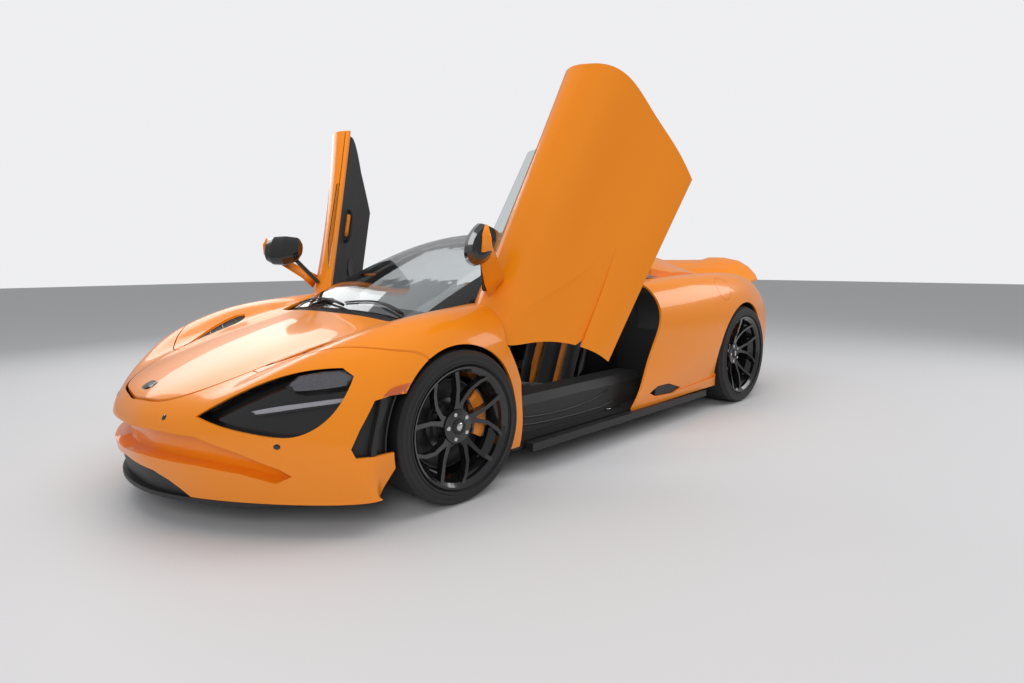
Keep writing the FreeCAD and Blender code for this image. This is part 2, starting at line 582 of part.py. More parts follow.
# Hinges of the doors: a pin on the axis, carried by the pillar, and an arm on the door
hinge_way = at(*hinge_direction_shares)
hinge_way.normalize()
hinge_at = at(*hinge_point)


def swung(shape, angle=door_open_angle):
    turned_shape = shape.copy()
    turned_shape.rotate(hinge_at, hinge_way, angle)
    return turned_shape


pin_low = -70.0
pin_high = 60.0
hinge_pin = Part.makeCylinder(hinge_pin_radius, pin_high - pin_low, hinge_at + hinge_way * pin_low, hinge_way)
arm_low = 4.0
arm_high = 44.0
arm_ring = Part.makeCylinder(30, arm_high - arm_low, hinge_at + hinge_way * arm_low, hinge_way)
arm_bore = Part.makeCylinder(hinge_pin_radius + seat_clearance, 400, hinge_at - hinge_way * 200, hinge_way)
arm_end = at(765, 790, 700)
arm_bar = Part.makeCylinder(20, (arm_end - (hinge_at + hinge_way * 24)).Length, hinge_at + hinge_way * 24,
                            arm_end - (hinge_at + hinge_way * 24))
hinge_arm = arm_ring.fuse(arm_bar).cut(arm_bore)
door_trim = one_solid(door_trim.fuse(hinge_arm.common(door_inside)).cut(arm_bore))

# The fender is cut back where the door's front top corner passes as it swings
relief_steps = (0.08, 0.2, 0.35, 0.5, 0.65, 0.82, 1.0)
grown_outer = hull_solid(inner_rows(outer_rows, -door_gap))
relief_corner = grown_outer.common(prism(door_outline, "xz", belt_half - door_gap, wide, door_runs, door_gap))
relief_corner = one_solid(relief_corner.common(box(700, tall, 0, wide, 480, tall)))
for share in relief_steps:
    fender_left = fender_left.cut(swung(relief_corner, door_open_angle * share))
fender_left = one_solid(fender_left)

# Greenhouse
screen_top_half = 415.0
screen_outline = ((1262, -520), (1262, 520), (1150, 575), (800, 550), (header_x + 10, screen_top_half),
                  (header_x + 10, -screen_top_half), (800, -550), (1150, -575))
frame_outline = ((1292, -560), (1292, 560), (1170, 640), (960, 668), (800, 664), (560, 590), (header_x, 500),
                 (header_x, -500), (560, -590), (800, -664), (960, -668), (1170, -640))
screen_zone = prism(screen_outline, "xy", 600, tall)
screen_hole = prism(screen_outline, "xy", 600, tall, (), seat_clearance)
shell_house = house_outer.cut(house_inner)
screen_frame = one_solid(shell_house.common(prism(frame_outline, "xy", 600, tall)).cut(screen_hole)
                         .common(box(-tall, tall + overrun, -wide, wide, 755, tall)))
windscreen = one_solid(glass_sheet.common(screen_zone).common(box(-tall, tall + overrun, -wide, wide, 740, tall)))
roof_half = 498.0
roof_zone = box(roof_rear_x, header_x - seat_clearance, -roof_half, roof_half, 1050, tall)
roof = one_solid(shell_house.common(roof_zone))
buttress_outline = ((roof_rear_x - seat_clearance, 330), (roof_rear_x - seat_clearance, 640), (-900, 640), (-1500, 560),
                    (-1500, 400), (-1250, 340))
buttress_zone = prism(buttress_outline, "xy", 800, tall)
pane_zone = prism(((-690, 440), (-690, 610), (-1000, 590), (-1330, 470)), "xy", 800, tall)
buttress = one_solid(shell_house.cut(body_clear).common(buttress_zone))
rear_pillars = both_sides(buttress)
back_glass = box(-672, -664, -325, 325, 905, 1110).common(house_outer).cut(body_clear)

# Wheels
spoke_stations = ((46, 9, 17), (100, 7, 11), (160, 12, 9), (210, 18, 9.5), (300, 27, 12))


def spoke_outline(side, base, centre_x, centre_z):
    left = []
    right = []
    for radius, turn, half_wide in spoke_stations:
        angle = math.radians(base + side * turn + radius * 0.06)
        spread = half_wide / radius
        left.append((centre_x + radius * math.cos(angle + spread), centre_z + radius * math.sin(angle + spread)))
        right.append((centre_x + radius * math.cos(angle - spread), centre_z + radius * math.sin(angle - spread)))
    return left + right[::-1]


def wheel_set(axle_x, centre_y, tyre_radius, tyre_width, rim_radius, dish, disc_radius):
    half = tyre_width / 2
    flange = half - 6.5
    axle_z = tyre_radius
    seat = rim_radius - 15.5
    well = rim_radius - 37
    c = centre_y
    tread = half * 0.79
    tyre_points = [(seat + bead_gap, c + flange - 13.5), (rim_radius + 2, c + flange - 13.2),
                   (rim_radius + 22, c + half - 1), (tyre_radius - 14, c + half - 5), (tyre_radius, c + tread)]
    inside = [(tyre_radius - 16, c + tread - 20), (rim_radius + 26, c + half - 15), (seat - 3, c + flange - 32)]
    back = [(r, 2 * c - y) for r, y in tyre_points[::-1]]
    inside_back = [(r, 2 * c - y) for r, y in inside[::-1]]
    ring = tyre_points + back
    hollow = inside + inside_back
    tyre = turned(ring, axle_x, axle_z).cut(turned(hollow, axle_x, axle_z))
    barrel = [(rim_radius, c + flange), (rim_radius, c + flange - 7), (seat, c + flange - 12),
              (seat - 2, c + flange - 44), (well, c + flange - 70), (well, c - flange + 60),
              (seat - 2, c - flange + 36), (seat, c - flange + 12), (rim_radius, c - flange + 7),
              (rim_radius, c - flange), (rim_radius - 8, c - flange), (seat - rim_wall, c - flange + 14),
              (seat - rim_wall, c - flange + 38), (well - rim_wall, c - flange + 63),
              (well - rim_wall, c + flange - 72), (seat - rim_wall, c + flange - 40),
              (seat - rim_wall, c + flange - 18), (rim_radius - 9, c + flange - 4)]
    rim = turned(barrel, axle_x, axle_z)
    face = c + flange - 4
    hub_face = face - dish
    end_high = rim_radius - 16.2
    end_low = seat - rim_wall - 0.3
    spoke_ring = [(48, hub_face - 8), (130, hub_face + dish * 0.22), (205, hub_face + dish * 0.66),
                  (end_high, face - 6), (end_low, face - 14), (end_low, face - 32), (205, hub_face + dish * 0.66 - 30),
                  (130, hub_face + dish * 0.22 - 36), (48, hub_face - 40)]
    dish_ring = turned(spoke_ring, axle_x, axle_z)
    arms = []
    for pair in range(spoke_pairs):
        for side in (-1, 1):
            points = spoke_outline(side, 360 / spoke_pairs * pair + 90, axle_x, axle_z)
            arms.append(prism(points, "xz", c - half, c + half + 40))
    spokes = arms[0].multiFuse(arms[1:]).common(dish_ring)
    hub = turned([(hub_bore, hub_face - 52), (72, hub_face - 52), (72, hub_face + 2), (40, hub_face + 6),
                  (hub_bore, hub_face + 6)], axle_x, axle_z)
    rim = Part.makeCompound([rim, one_solid(hub.fuse(spokes))])
    mount_face = hub_face - 52 - seat_clearance
    disc = turned([(hub_bore, mount_face), (disc_bell_radius, mount_face), (disc_bell_radius, mount_face - 20),
                   (disc_radius, mount_face - 20), (disc_radius, mount_face - 20 - disc_thickness),
                   (disc_bell_radius - 8, mount_face - 20 - disc_thickness), (disc_bell_radius - 8, mount_face - 8),
                   (hub_bore, mount_face - 8)], axle_x, axle_z)
    return tyre, rim, disc, mount_face - 20 - disc_thickness / 2


front_dish = 40.0
rear_dish = 70.0
tyre_front, rim_front, disc_front, disc_front_y = wheel_set(front_axle_x, front_track_half, front_tyre_radius,
                                                            front_tyre_width, front_rim_radius, front_dish,
                                                            front_disc_radius)
tyre_rear, rim_rear, disc_rear, disc_rear_y = wheel_set(rear_axle_x, rear_track_half, rear_tyre_radius,
                                                        rear_tyre_width, rear_rim_radius, rear_dish,
                                                        rear_disc_radius)

# Uprights with calipers; the front ones turn about the kingpin line
kingpin_y = 762.0


def upright(axle_x, axle_z, disc_y, disc_radius, post_y, caliper_angle, low, high):
    post = box(axle_x - 30, axle_x + 30, post_y - 22, post_y + 22, low, high)
    spindle = across(axle_x, post_y, disc_y + 60, axle_z, spindle_radius)
    flange = across(axle_x, post_y, post_y + 24, axle_z, 62)
    body = post.fuse([spindle, flange])
    inner_r = 128
    outer_r = disc_radius + 10
    ring = Part.makeCylinder(outer_r, 96, at(axle_x, disc_y - 48, axle_z), at(0, 1, 0))
    ring = ring.cut(Part.makeCylinder(inner_r, 96, at(axle_x, disc_y - 48, axle_z), at(0, 1, 0)))
    slot = Part.makeCylinder(disc_radius + 6, disc_thickness + 10, at(axle_x, disc_y - disc_thickness / 2 - 5, axle_z),
                             at(0, 1, 0))
    reach = math.radians(34)
    middle = math.radians(caliper_angle)
    wedge = [(axle_x, axle_z)] + [(axle_x + 300 * math.cos(middle + k * reach), axle_z + 300 * math.sin(middle + k * reach))
                                  for k in (-1, 0, 1)]
    caliper = ring.common(prism(wedge, "xz", disc_y - 60, disc_y + 60)).cut(slot)
    arm_y0 = post_y - 20
    arm = box(axle_x - 20, axle_x + 20, arm_y0, disc_y - 26, axle_z - 20, axle_z + 20)
    lug_length = 150
    lug = box(0, lug_length, arm_y0, disc_y - 30, axle_z - 24, axle_z + 24)
    lug.translate(at(axle_x, 0, 0))
    lug.rotate(at(axle_x, 0, axle_z), at(0, 1, 0), -caliper_angle)
    return one_solid(body.fuse([caliper, lug]).fuse(arm))


knuckle_left = upright(front_axle_x, front_tyre_radius, disc_front_y, front_disc_radius, kingpin_y, 172, 205, 448)
rear_post_y = 700.0
upright_rear = upright(rear_axle_x, rear_tyre_radius, disc_rear_y, rear_disc_radius, rear_post_y, 8, 205, 480)

# Arch liners: half shells over each wheel, with an inner wall
liner_wall = 6.0
steered_radius = 375.0


def arch_liner(axle_x, axle_z, radius, inner_y, low):
    shell = across(axle_x, inner_y, wide, axle_z, radius + liner_wall)
    shell = shell.cut(across(axle_x, inner_y + liner_wall, wide, axle_z, radius))
    shell = shell.common(box(axle_x - tall, axle_x + tall, 0, wide, low, tall))
    return shell.common(body_seat)


liner_front = one_solid(arch_liner(front_axle_x, front_tyre_radius, steered_radius, 540, 200)
                        .cut(box(front_axle_x - 130, front_axle_x + 130, 500, 560, 0, 520)))
liner_rear = one_solid(arch_liner(rear_axle_x, rear_tyre_radius, rear_arch_radius + 6, 600, 230)
                       .cut(box(rear_axle_x - 130, rear_axle_x + 130, 580, 620, 0, 520)))

# Bonnet hinges: two pins on brackets of the cowl, two eyes on the bonnet
bonnet_axis = (1310.0, 724.0)
eye_radius = 10.0
bonnet_pin_radius = 5.0
eye_low = 309.0
eye_high = 339.0
bracket = prism(((1270, 700), (1314, 700), (1320, 724), (1310, 734), (1300, 730), (1270, 730)), "xz", 300, 308)
bonnet_pin = across(bonnet_axis[0], 304, eye_high + 3, bonnet_axis[1], bonnet_pin_radius)
bracket = bracket.fuse(bonnet_pin)
bonnet_brackets = both_sides(bracket)
eye = across(bonnet_axis[0], eye_low, eye_high, bonnet_axis[1], eye_radius)
eye = eye.fuse(prism(((1310, 716), (1360, 716), (1360, 740), (1318, 740), (1310, 734)), "xz", eye_low, eye_high))
eye = eye.common(body_outer).cut(across(bonnet_axis[0], eye_low - 1, eye_high + 1, bonnet_axis[1],
                                        bonnet_pin_radius + seat_clearance))
bonnet = one_solid(bonnet.fuse([eye, mirror(eye)]))

# Cabin tub: floor, sills, bulkheads and door jambs in one moulding
floor_low = ride_clearance
floor_top = floor_low + floor_thickness
pillar_x = 830.0
jamb_rear_x = -560.0
cowl_outline = ((1010, 640), (1288, 640), (1288, 738), (1150, 770), (1010, 770))
tub = box(cabin_rear_x - bulkhead_thickness, cabin_front_x, -cabin_half, cabin_half, floor_low, floor_top)
sill_section = ((cabin_half - 2, floor_low), (850, floor_low), (862, 158), (812, 160), (790, 176), (776, 300),
                (744, sill_height + 12), (610, sill_height + 12), (cabin_half - 2, 240))
sill = prism(sill_section, "yz", cabin_rear_x - bulkhead_thickness, 882)
pillar = box(pillar_x, 882, 590, 698, floor_low, 754.7).common(body_seat)
jamb = box(cabin_rear_x - bulkhead_thickness, -335, 600, wide, 155, 850)
jamb = jamb.common(body_seat)
tub_parts = [sill, mirror(sill), pillar, mirror(pillar), jamb, mirror(jamb),
             box(cabin_rear_x - bulkhead_thickness, cabin_rear_x, -640, 640, floor_low, 880),
             box(cabin_front_x - 40, cabin_front_x, -539.7, 539.7, floor_low, 700),
             prism(cowl_outline, "xz", -539.7, 539.7).common(box(1000, 1300, -540, 540, 640, 755)),
             bonnet_brackets,
             box(-540, 900, -110, 110, floor_low, 330)]
tub = tub.multiFuse(tub_parts)
sill_room = prism(trim_section, "yz", -1000, 1200, (), running_gap)
door_room = door_gap_zone.common(sill_room)
tub = tub.cut(Part.makeCompound([door_room, mirror(door_room)]))
tub = tub.cut(Part.makeCompound([bonnet_gap_zone.common(box(1000, nose_x, -wide, wide, 700, tall)),
                                 screen_frame, windscreen]))
pin_bore = Part.makeCylinder(hinge_pin_radius + seat_clearance, 400, hinge_at - hinge_way * 200, hinge_way)
arm_sweep = Part.makeCylinder(30 + running_gap, arm_high - arm_low + 2 * running_gap,
                              hinge_at + hinge_way * (arm_low - running_gap), hinge_way)
pin_block = Part.makeCylinder(34, 60, hinge_at + hinge_way * (pin_low - 4), hinge_way)
tub = tub.cut(Part.makeCompound([arm_sweep, mirror(arm_sweep)]))
tub = one_solid(tub.fuse([pin_block, mirror(pin_block)]))
for side_pin in (hinge_pin, mirror(hinge_pin)):
    tub = tub.fuse(side_pin)
tub = one_solid(tub.removeSplitter())

# Luggage tub under the bonnet, open at the top
luggage_outer = prism(((1318, 250), (1870, 250), (1950, 330), (1950, 520), (1318, 690)), "xz", -365, 365)
luggage_inner = prism(((1326, 262), (1864, 262), (1938, 334), (1938, 700), (1326, 900)), "xz", -353, 353)
luggage_cap = hull_solid(inner_rows(outer_rows, bonnet_skin + seat_clearance))
luggage_tub = one_solid(luggage_outer.common(luggage_cap).cut(luggage_inner))

# Closed underside, in a front and a rear tray
tray_thickness = 8.0
front_tray = prism([(cabin_front_x, -540), (1500, -540), (1640, -820), (1900, -740), (2120, -430), (2200, 0),
                    (2120, 430), (1900, 740), (1640, 820), (1500, 540), (cabin_front_x, 540)], "xy", 140, 148)
rear_tray = prism([(cabin_rear_x - bulkhead_thickness, -590), (-1760, -590), (-1760, 590),
                   (cabin_rear_x - bulkhead_thickness, 590)], "xy", 126, 134)
undertray = Part.makeCompound([front_tray.common(body_inner), rear_tray])

# Skirts, splitter and diffuser, the dark pieces along the foot
skirt = prism(((800, 106), (915, 112), (914, 150), (866, 150), (866, 117.7), (800, 117.7)), "yz", -930, 800)
splitter = prism([(1800, -760), (2000, -648), (2150, -430), (2244, -190), (2264, 0), (2244, 190), (2150, 430),
                  (2000, 648), (1800, 760), (1700, 700), (1700, -700)], "xy", 112, 129.7, ((0, 8),))
diffuser_plate = prism(((-1760, 126), (-1760, 138), (-2225, 262), (-2225, 250)), "xz", -560, 560)
fins = [prism(((-1800, 140), (-2225, 254), (-2225, 150), (-2150, 132), (-1850, 126)), "xz", y - 4, y + 4)
        for y in (-480, -320, -160, 160, 320, 480)]
diffuser = one_solid(diffuser_plate.multiFuse(fins))

# Engine, one plain block, and the exhaust box with two pipes
engine = box(-1300, -670.3, -290, 290, 190, 700)
muffler = box(-2120, -1900, -380, 380, 560, 690)
pipes = []
for y in (-exhaust_half, exhaust_half):
    pipe = Part.makeCylinder(exhaust_radius, 330, at(-2262, y, exhaust_z), at(1, 0, 0))
    bore = Part.makeCylinder(exhaust_radius - pipe_wall, 300, at(-2272, y, exhaust_z), at(1, 0, 0))
    pipes.append(pipe.cut(bore))
front_pipes = [rod((-1910, y, 600), (-1300.3, y, 600), 30) for y in (-exhaust_half, exhaust_half)]
exhaust = one_solid(muffler.multiFuse(pipes + front_pipes).cut(Part.makeCompound(
    [Part.makeCylinder(exhaust_radius - pipe_wall, 260, at(-2272, y, exhaust_z), at(1, 0, 0))
     for y in (-exhaust_half, exhaust_half)])))

# Headlamps and the vents ahead of the front wheels
socket_depth = 58.0
socket_wall = 8.0
lamp_unit_recess = 10.0
lamp_blade_recess = 24.0


# The body moved back into itself along a way.
def sunk(way, depth):
    back = at(*way)
    back.normalize()
    moved = body_outer.copy()
    moved.translate(back * -depth)
    return moved


# A bowl behind an opening of the skin: walls round the opening and a floor at the depth.
def bowl(opening, grown_opening, way, depth, wall):
    hollow = opening.cut(sunk(way, depth))
    return body_seat.common(grown_opening).cut(sunk(way, depth + wall)).cut(hollow)


lamp_sink_way = (0.75, 0.52, 0.4)
headlamp_grown = cast(headlamp_corners, headlamp_way, headlamp_runs, socket_wall)
headlamp = bowl(headlamp_hole, headlamp_grown, lamp_sink_way, socket_depth, socket_wall)
headlamp_seat = cast(headlamp_corners, headlamp_way, headlamp_runs, -3.0)
lamp_floor = sunk(lamp_sink_way, socket_depth + socket_wall)
lamp_unit = hull_solid(inner_rows(outer_rows, lamp_unit_recess)).common(cast(lamp_unit_corners, headlamp_way, ()))
lamp_blade = hull_solid(inner_rows(outer_rows, lamp_blade_recess)).common(cast(lamp_blade_corners, headlamp_way, ()))
lamp_inserts = [piece.common(headlamp_seat).common(box(1500, nose_x, 0, wide, 0, tall)).cut(lamp_floor)
                for piece in (lamp_unit, lamp_blade)]
headlamp = headlamp.fuse(lamp_inserts)
headlamp = headlamp.cut(Part.makeCompound(arches)).common(box(1500, nose_x, 0, wide, 0, tall))
headlamp = one_solid(headlamp.cut(luggage_tub))
vent_depth = 30.0
side_vent_hole = prism(side_vent_outline, "xz", 600, wide)
vent_way = (0.25, 1.0, 0.0)
side_vent = bowl(side_vent_hole, prism(side_vent_outline, "xz", 600, wide, (), 12.0), vent_way, vent_depth, 10)
vane = hull_solid(inner_rows(outer_rows, 4)).common(prism(vane_outline, "xz", 600, wide)).common(
    prism(side_vent_outline, "xz", 600, wide, (), -0.6)).cut(sunk(vent_way, vent_depth + 6))
side_vent = side_vent.fuse(vane).cut(Part.makeCompound([a for a in arches]))
side_vent = side_vent.common(box(1480, nose_x, 0, wide, 250, tall)).cut(box(1400, 1620, 0, 884, 0, tall))
vent_clear = across(front_axle_x, 400, 845, front_tyre_radius, steered_radius + liner_wall + seat_clearance)
side_vent = one_solid(side_vent.cut(vent_clear).cut(headlamp).cut(liner_front))

# Bowl behind the mouth, and the dark lower face above the splitter
intake_depth = 64.0
mouth_way = (1.0, 0.0, 0.0)
intake = bowl(mouth_hole, prism(mouth_outline, "yz", 1700, nose_x + overrun, (), 9), mouth_way, intake_depth, 8)
intake = one_solid(intake.common(box(1700, nose_x, -wide, wide, 0, tall)).cut(headlamp).cut(mirror(headlamp)))
foot_face = body_seat.common(prism(foot_outline, "yz", 1700, nose_x + overrun, (), 10)).cut(sunk(mouth_way, 36))
foot_face = foot_face.common(box(1700, nose_x, -wide, wide, 128, tall))
splitter = one_solid(splitter.fuse(foot_face.cut(intake)))
undertray = undertray.cut(splitter)

# Rear wing, raised on two struts over a bay with a floor
wing_profile_shares = ((0, 0), (0.1, 0.04), (0.4, 0.075), (0.8, 0.06), (1, 0.01), (0.97, -0.02), (0.8, -0.02),
                       (0.4, -0.005), (0.05, -0.012))
wing_lead_x = -1925.0
wing_trail_x = -2205.0
# Stations from the centre outwards: half span, leading height, trailing height, sweep forwards
wing_stations = ((0, 900, 1022, 0), (200, 900, 1024, 4), (262, 905, 1044, 8), (400, 912, 1040, 22), (540, 905, 1014, 45),
                 (640, 870, 964, 75), (715, 835, 903, 108), (742, 822, 864, 128))
wing_sections = []
for y, low, high, sweep in [(-y, a, b, c) for y, a, b, c in wing_stations[:0:-1]] + list(wing_stations):
    lead = at(wing_lead_x + sweep / 3, y, low)
    chord = at(wing_trail_x + sweep, y, high) - lead
    lift = at(-chord.z, 0, chord.x) * -1
    points = [lead + chord * (1 - run) + lift * up for run, up in wing_profile_shares]
    wing_sections.append(Part.makePolygon(points + [points[0]]))
wing_blade = Part.makeLoft(wing_sections, True, True)
strut_x = (-2090.0, -2010.0)
strut_y = 330.0
strut_outline = ((strut_x[0], 788), (strut_x[1], 788), (strut_x[1], 958), (strut_x[0], 992))
struts = [prism(strut_outline, "xz", y - 12, y + 12) for y in (-strut_y, strut_y)]
wing = one_solid(wing_blade.multiFuse(struts))
bay_plate = 10.0
bay_floor = prism([(y, z - bay_plate) for y, z in wing_bay_outline], "yz", -2250, wing_bay_front_x + 60)
bay_floor = bay_floor.cut(prism([(y, z - seat_clearance) for y, z in wing_bay_outline], "yz", -2400, -1700))
bay_floor = bay_floor.common(body_seat).common(Part.makeCylinder(
    tail_bow - rear_wall - seat_clearance, 2 * body_height, at(tail_x + tail_bow, 0, 0)))
strut_slots = [box(strut_x[0] - seat_clearance, strut_x[1] + seat_clearance, y - 12 - seat_clearance,
                   y + 12 + seat_clearance, 0, tall) for y in (-strut_y, strut_y)]
bay_floor = one_solid(bay_floor.cut(Part.makeCompound(strut_slots)))

# Cabin fittings
def seat_shape(y):
    cushion = prism(((20, 152.3), (520, 152.3), (560, 330), (500, 360), (160, 300), (20, 300)), "xz", y - 200, y + 200)
    back = prism(((20, 152.3), (160, 200), (-60, 760), (-130, 900), (-220, 890), (-240, 820), (-120, 300)), "xz",
                y - 200, y + 200)
    return one_solid(cushion.fuse(back))


seat_y = 345.0
seat_left = seat_shape(seat_y)
seats = Part.makeCompound([seat_left, mirror(seat_left)])
dash_outline = ((700, 600), (740, 700), (900, 760), (1080, 760), (969.7, 560), (760, 540))
dashboard = prism(((700, 590), (730, 690), (860, 750), (965, 745), (969.7, 700), (969.7, 540), (760, 520)), "xz",
                 -539, 539)
dashboard = one_solid(dashboard.cut(Part.makeCompound([door_gap_zone, mirror(door_gap_zone), screen_frame])))
wheel_centre = (560, seat_y, 640)
wheel_tilt = (1.0, 0, -0.4)
steering_ring = Part.makeTorus(165, 15, at(*wheel_centre), at(*wheel_tilt))
steering_hub = Part.makeCylinder(60, 40, at(*wheel_centre), at(*wheel_tilt))
column = Part.makeCylinder(30, 170, at(*wheel_centre), at(*wheel_tilt))
spoke_a = Part.makeBox(24, 310, 26, at(wheel_centre[0] - 2, seat_y - 155, wheel_centre[2] - 13))
steering_wheel = one_solid(steering_ring.multiFuse([steering_hub, column, spoke_a]).cut(dashboard))

# Wishbones, one pair for each wheel, and the rear uprights they carry
def wishbones(axle_x, z_low, z_high, in_y, out_y, spread):
    arms = []
    for z_in, z_out in ((z_low, z_low), (z_high, z_high)):
        for dx in (-spread, spread):
            arms.append(rod((axle_x + dx, in_y, z_in), (axle_x, out_y, z_out), 7.9))
        arms.append(Part.makeCylinder(24, 16, at(axle_x, out_y, z_out - 8)))
        arms.append(rod((axle_x - spread - 30, in_y, z_in), (axle_x + spread + 30, in_y, z_in), 16))
    return arms


front_arms = wishbones(front_axle_x, 196.7, 456.3, 420, kingpin_y, 120)
rear_arms = wishbones(rear_axle_x, 199.0, 486.0, 420, rear_post_y, 120)
front_low = front_arms[0].multiFuse(front_arms[1:4])
front_high = front_arms[4].multiFuse(front_arms[5:8])
rear_low = rear_arms[0].multiFuse(rear_arms[1:4])
rear_high = rear_arms[4].multiFuse(rear_arms[5:8])
front_frame = box(front_axle_x - 170, front_axle_x + 170, 365.3, 436, 148.3, 500)
rear_frame_block = box(rear_axle_x - 170, rear_axle_x + 170, 380, 436, 134.3, 520)
suspension_front = one_solid(front_frame.fuse([front_low, front_high]))
suspension_rear = one_solid(rear_frame_block.fuse([rear_low, rear_high, upright_rear]))
suspension = Part.makeCompound([suspension_front, mirror(suspension_front), suspension_rear,
                                mirror(suspension_rear)])

fender_left = one_solid(fender_left)
pieces = {
    "tub": tub, "bumper_front": bumper_front, "splitter": splitter, "fender_left": fender_left,
    "fender_right": mirror(fender_left), "headlamps": both_sides(headlamp), "side_vents": both_sides(side_vent),
    "intake": intake, "windscreen": windscreen, "screen_frame": screen_frame, "roof": roof,
    "bay_floor": bay_floor, "tail_lamps": both_sides(tail_lamp),
    "rear_pillars": rear_pillars, "back_glass": back_glass, "quarter_left": quarter_left,
    "quarter_right": mirror(quarter_left), "deck": deck, "bumper_rear": bumper_rear, "rear_grille": rear_grille,
    "exhaust": exhaust, "diffuser": diffuser, "skirts": both_sides(skirt), "wing": wing, "engine": engine,
    "luggage_tub": luggage_tub, "undertray": undertray, "seats": seats, "dashboard": dashboard,
    "steering_wheel": steering_wheel, "suspension": suspension,
    "arch_liners": Part.makeCompound([liner_front, mirror(liner_front), liner_rear, mirror(liner_rear)]),
    "bonnet": bonnet,
}
for side, turn in (("left", lambda shape: shape), ("right", mirror)):
    pieces["door_" + side] = turn(swung(door_shell))
    pieces["door_trim_" + side] = turn(swung(door_trim))
    pieces["door_glass_" + side] = turn(swung(door_pane))
    pieces["door_mirror_" + side] = turn(swung(door_mirror))
    pieces["knuckle_" + side] = turn(knuckle_left)
    for end, tyre, rim, disc in (("front", tyre_front, rim_front, disc_front),
                                 ("rear", tyre_rear, rim_rear, disc_rear)):
        pieces["tyre_" + end + "_" + side] = turn(tyre)
        pieces["rim_" + end + "_" + side] = turn(rim)
        pieces["disc_" + end + "_" + side] = turn(disc)

os.makedirs("parts", exist_ok=True)
for name, shape in pieces.items():
    shape.exportStep("parts/" + name + ".step")
    b = shape.optimalBoundingBox(False)
    print(name, shape.isValid(), len(shape.Solids), round(shape.Volume / 1e6, 2),
          [round(v) for v in (b.XMin, b.XMax, b.YMin, b.YMax, b.ZMin, b.ZMax)])
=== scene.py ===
# %% [markdown]
# # A low supercar with its doors swung up
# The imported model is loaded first. It gives the solid panels, wheels and doors in metres, with +X to the nose,
# +Y to the car's left and +Z up. Everything below dresses those solids or adds to them.

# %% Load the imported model
import bpy
import bmesh
import json
import math
from mathutils import Matrix, Vector
from mathutils.bvhtree import BVHTree
from mathutils.geometry import delaunay_2d_cdt


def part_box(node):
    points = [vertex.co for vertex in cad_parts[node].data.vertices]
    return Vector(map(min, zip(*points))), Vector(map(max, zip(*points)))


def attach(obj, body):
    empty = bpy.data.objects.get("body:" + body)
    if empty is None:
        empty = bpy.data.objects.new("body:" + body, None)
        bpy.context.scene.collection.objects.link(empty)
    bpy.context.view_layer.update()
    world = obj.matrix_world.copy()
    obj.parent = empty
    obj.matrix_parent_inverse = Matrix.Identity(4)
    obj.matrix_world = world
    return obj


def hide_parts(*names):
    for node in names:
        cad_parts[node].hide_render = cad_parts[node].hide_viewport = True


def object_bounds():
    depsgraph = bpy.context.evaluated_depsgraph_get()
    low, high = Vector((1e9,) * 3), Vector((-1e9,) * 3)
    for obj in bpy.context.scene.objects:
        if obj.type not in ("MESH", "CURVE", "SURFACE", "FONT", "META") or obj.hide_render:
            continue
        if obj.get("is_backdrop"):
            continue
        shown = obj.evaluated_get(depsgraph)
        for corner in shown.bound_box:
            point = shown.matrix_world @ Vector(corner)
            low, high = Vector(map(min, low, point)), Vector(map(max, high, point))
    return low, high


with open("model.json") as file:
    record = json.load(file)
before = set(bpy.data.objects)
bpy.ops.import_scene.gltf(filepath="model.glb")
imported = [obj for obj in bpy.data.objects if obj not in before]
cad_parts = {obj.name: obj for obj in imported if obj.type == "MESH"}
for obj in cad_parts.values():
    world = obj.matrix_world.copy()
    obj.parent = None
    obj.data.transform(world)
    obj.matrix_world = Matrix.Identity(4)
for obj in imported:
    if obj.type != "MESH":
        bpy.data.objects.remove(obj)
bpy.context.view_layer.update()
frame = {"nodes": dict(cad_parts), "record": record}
nodes = frame["nodes"]
scene = bpy.context.scene
scene.view_settings.view_transform = "Standard"

# %% [markdown]
# ## Camera
# The picture was taken from ahead and to the left of the car, low, with a wide lens. A constraint could aim the
# camera at the car, but it leaves no room for a small roll. So the matrix is made directly: its columns are the
# camera's right, up and backward directions, worked out from the heading, the tilt and the roll.

# %% Camera
camera_place = Vector((2.9467, 2.8730, 1.0151))
heading, tilt, roll = (math.radians(a) for a in (-135.6849, -7.2874, -0.2332))
lens_pixels = 626.4213
photo_width = 1024
forward = Vector((math.cos(tilt) * math.cos(heading), math.cos(tilt) * math.sin(heading), math.sin(tilt)))
level_right = forward.cross(Vector((0, 0, 1))).normalized()
level_up = level_right.cross(forward)
right = level_right * math.cos(roll) + level_up * math.sin(roll)
up = level_up * math.cos(roll) - level_right * math.sin(roll)
camera_data = bpy.data.cameras.new("camera")
camera_data.sensor_width = 36.0
camera_data.lens = lens_pixels / photo_width * camera_data.sensor_width
camera = bpy.data.objects.new("camera", camera_data)
scene.collection.objects.link(camera)
camera.matrix_world = Matrix.Translation(camera_place) @ Matrix((right, up, -forward)).transposed().to_4x4()
scene.camera = camera
print("lens", round(camera_data.lens, 2), "mm")

# %% [markdown]
# ## Studio
# The car stands on a plain pale floor. A large area lamp overhead and three more round it give soft shadows,
# because the softness grows with a lamp's size. A strong world could light everything alone, but then nothing would
# have a dark side, so it stays weak. The camera and the glass see a paler world than the one that lights the paint.

# %% Helpers for objects and nodes
def new_object(name, data):
    obj = bpy.data.objects.new(name, data)
    scene.collection.objects.link(obj)
    return obj


def mesh_object(name, points, faces):
    mesh = bpy.data.meshes.new(name)
    mesh.from_pydata([tuple(p) for p in points], [], faces)
    mesh.update()
    return new_object(name, mesh)


def dress(obj, finish, smooth):
    obj.data.materials.clear()
    obj.data.materials.append(finish)
    for polygon in obj.data.polygons:
        polygon.use_smooth = smooth


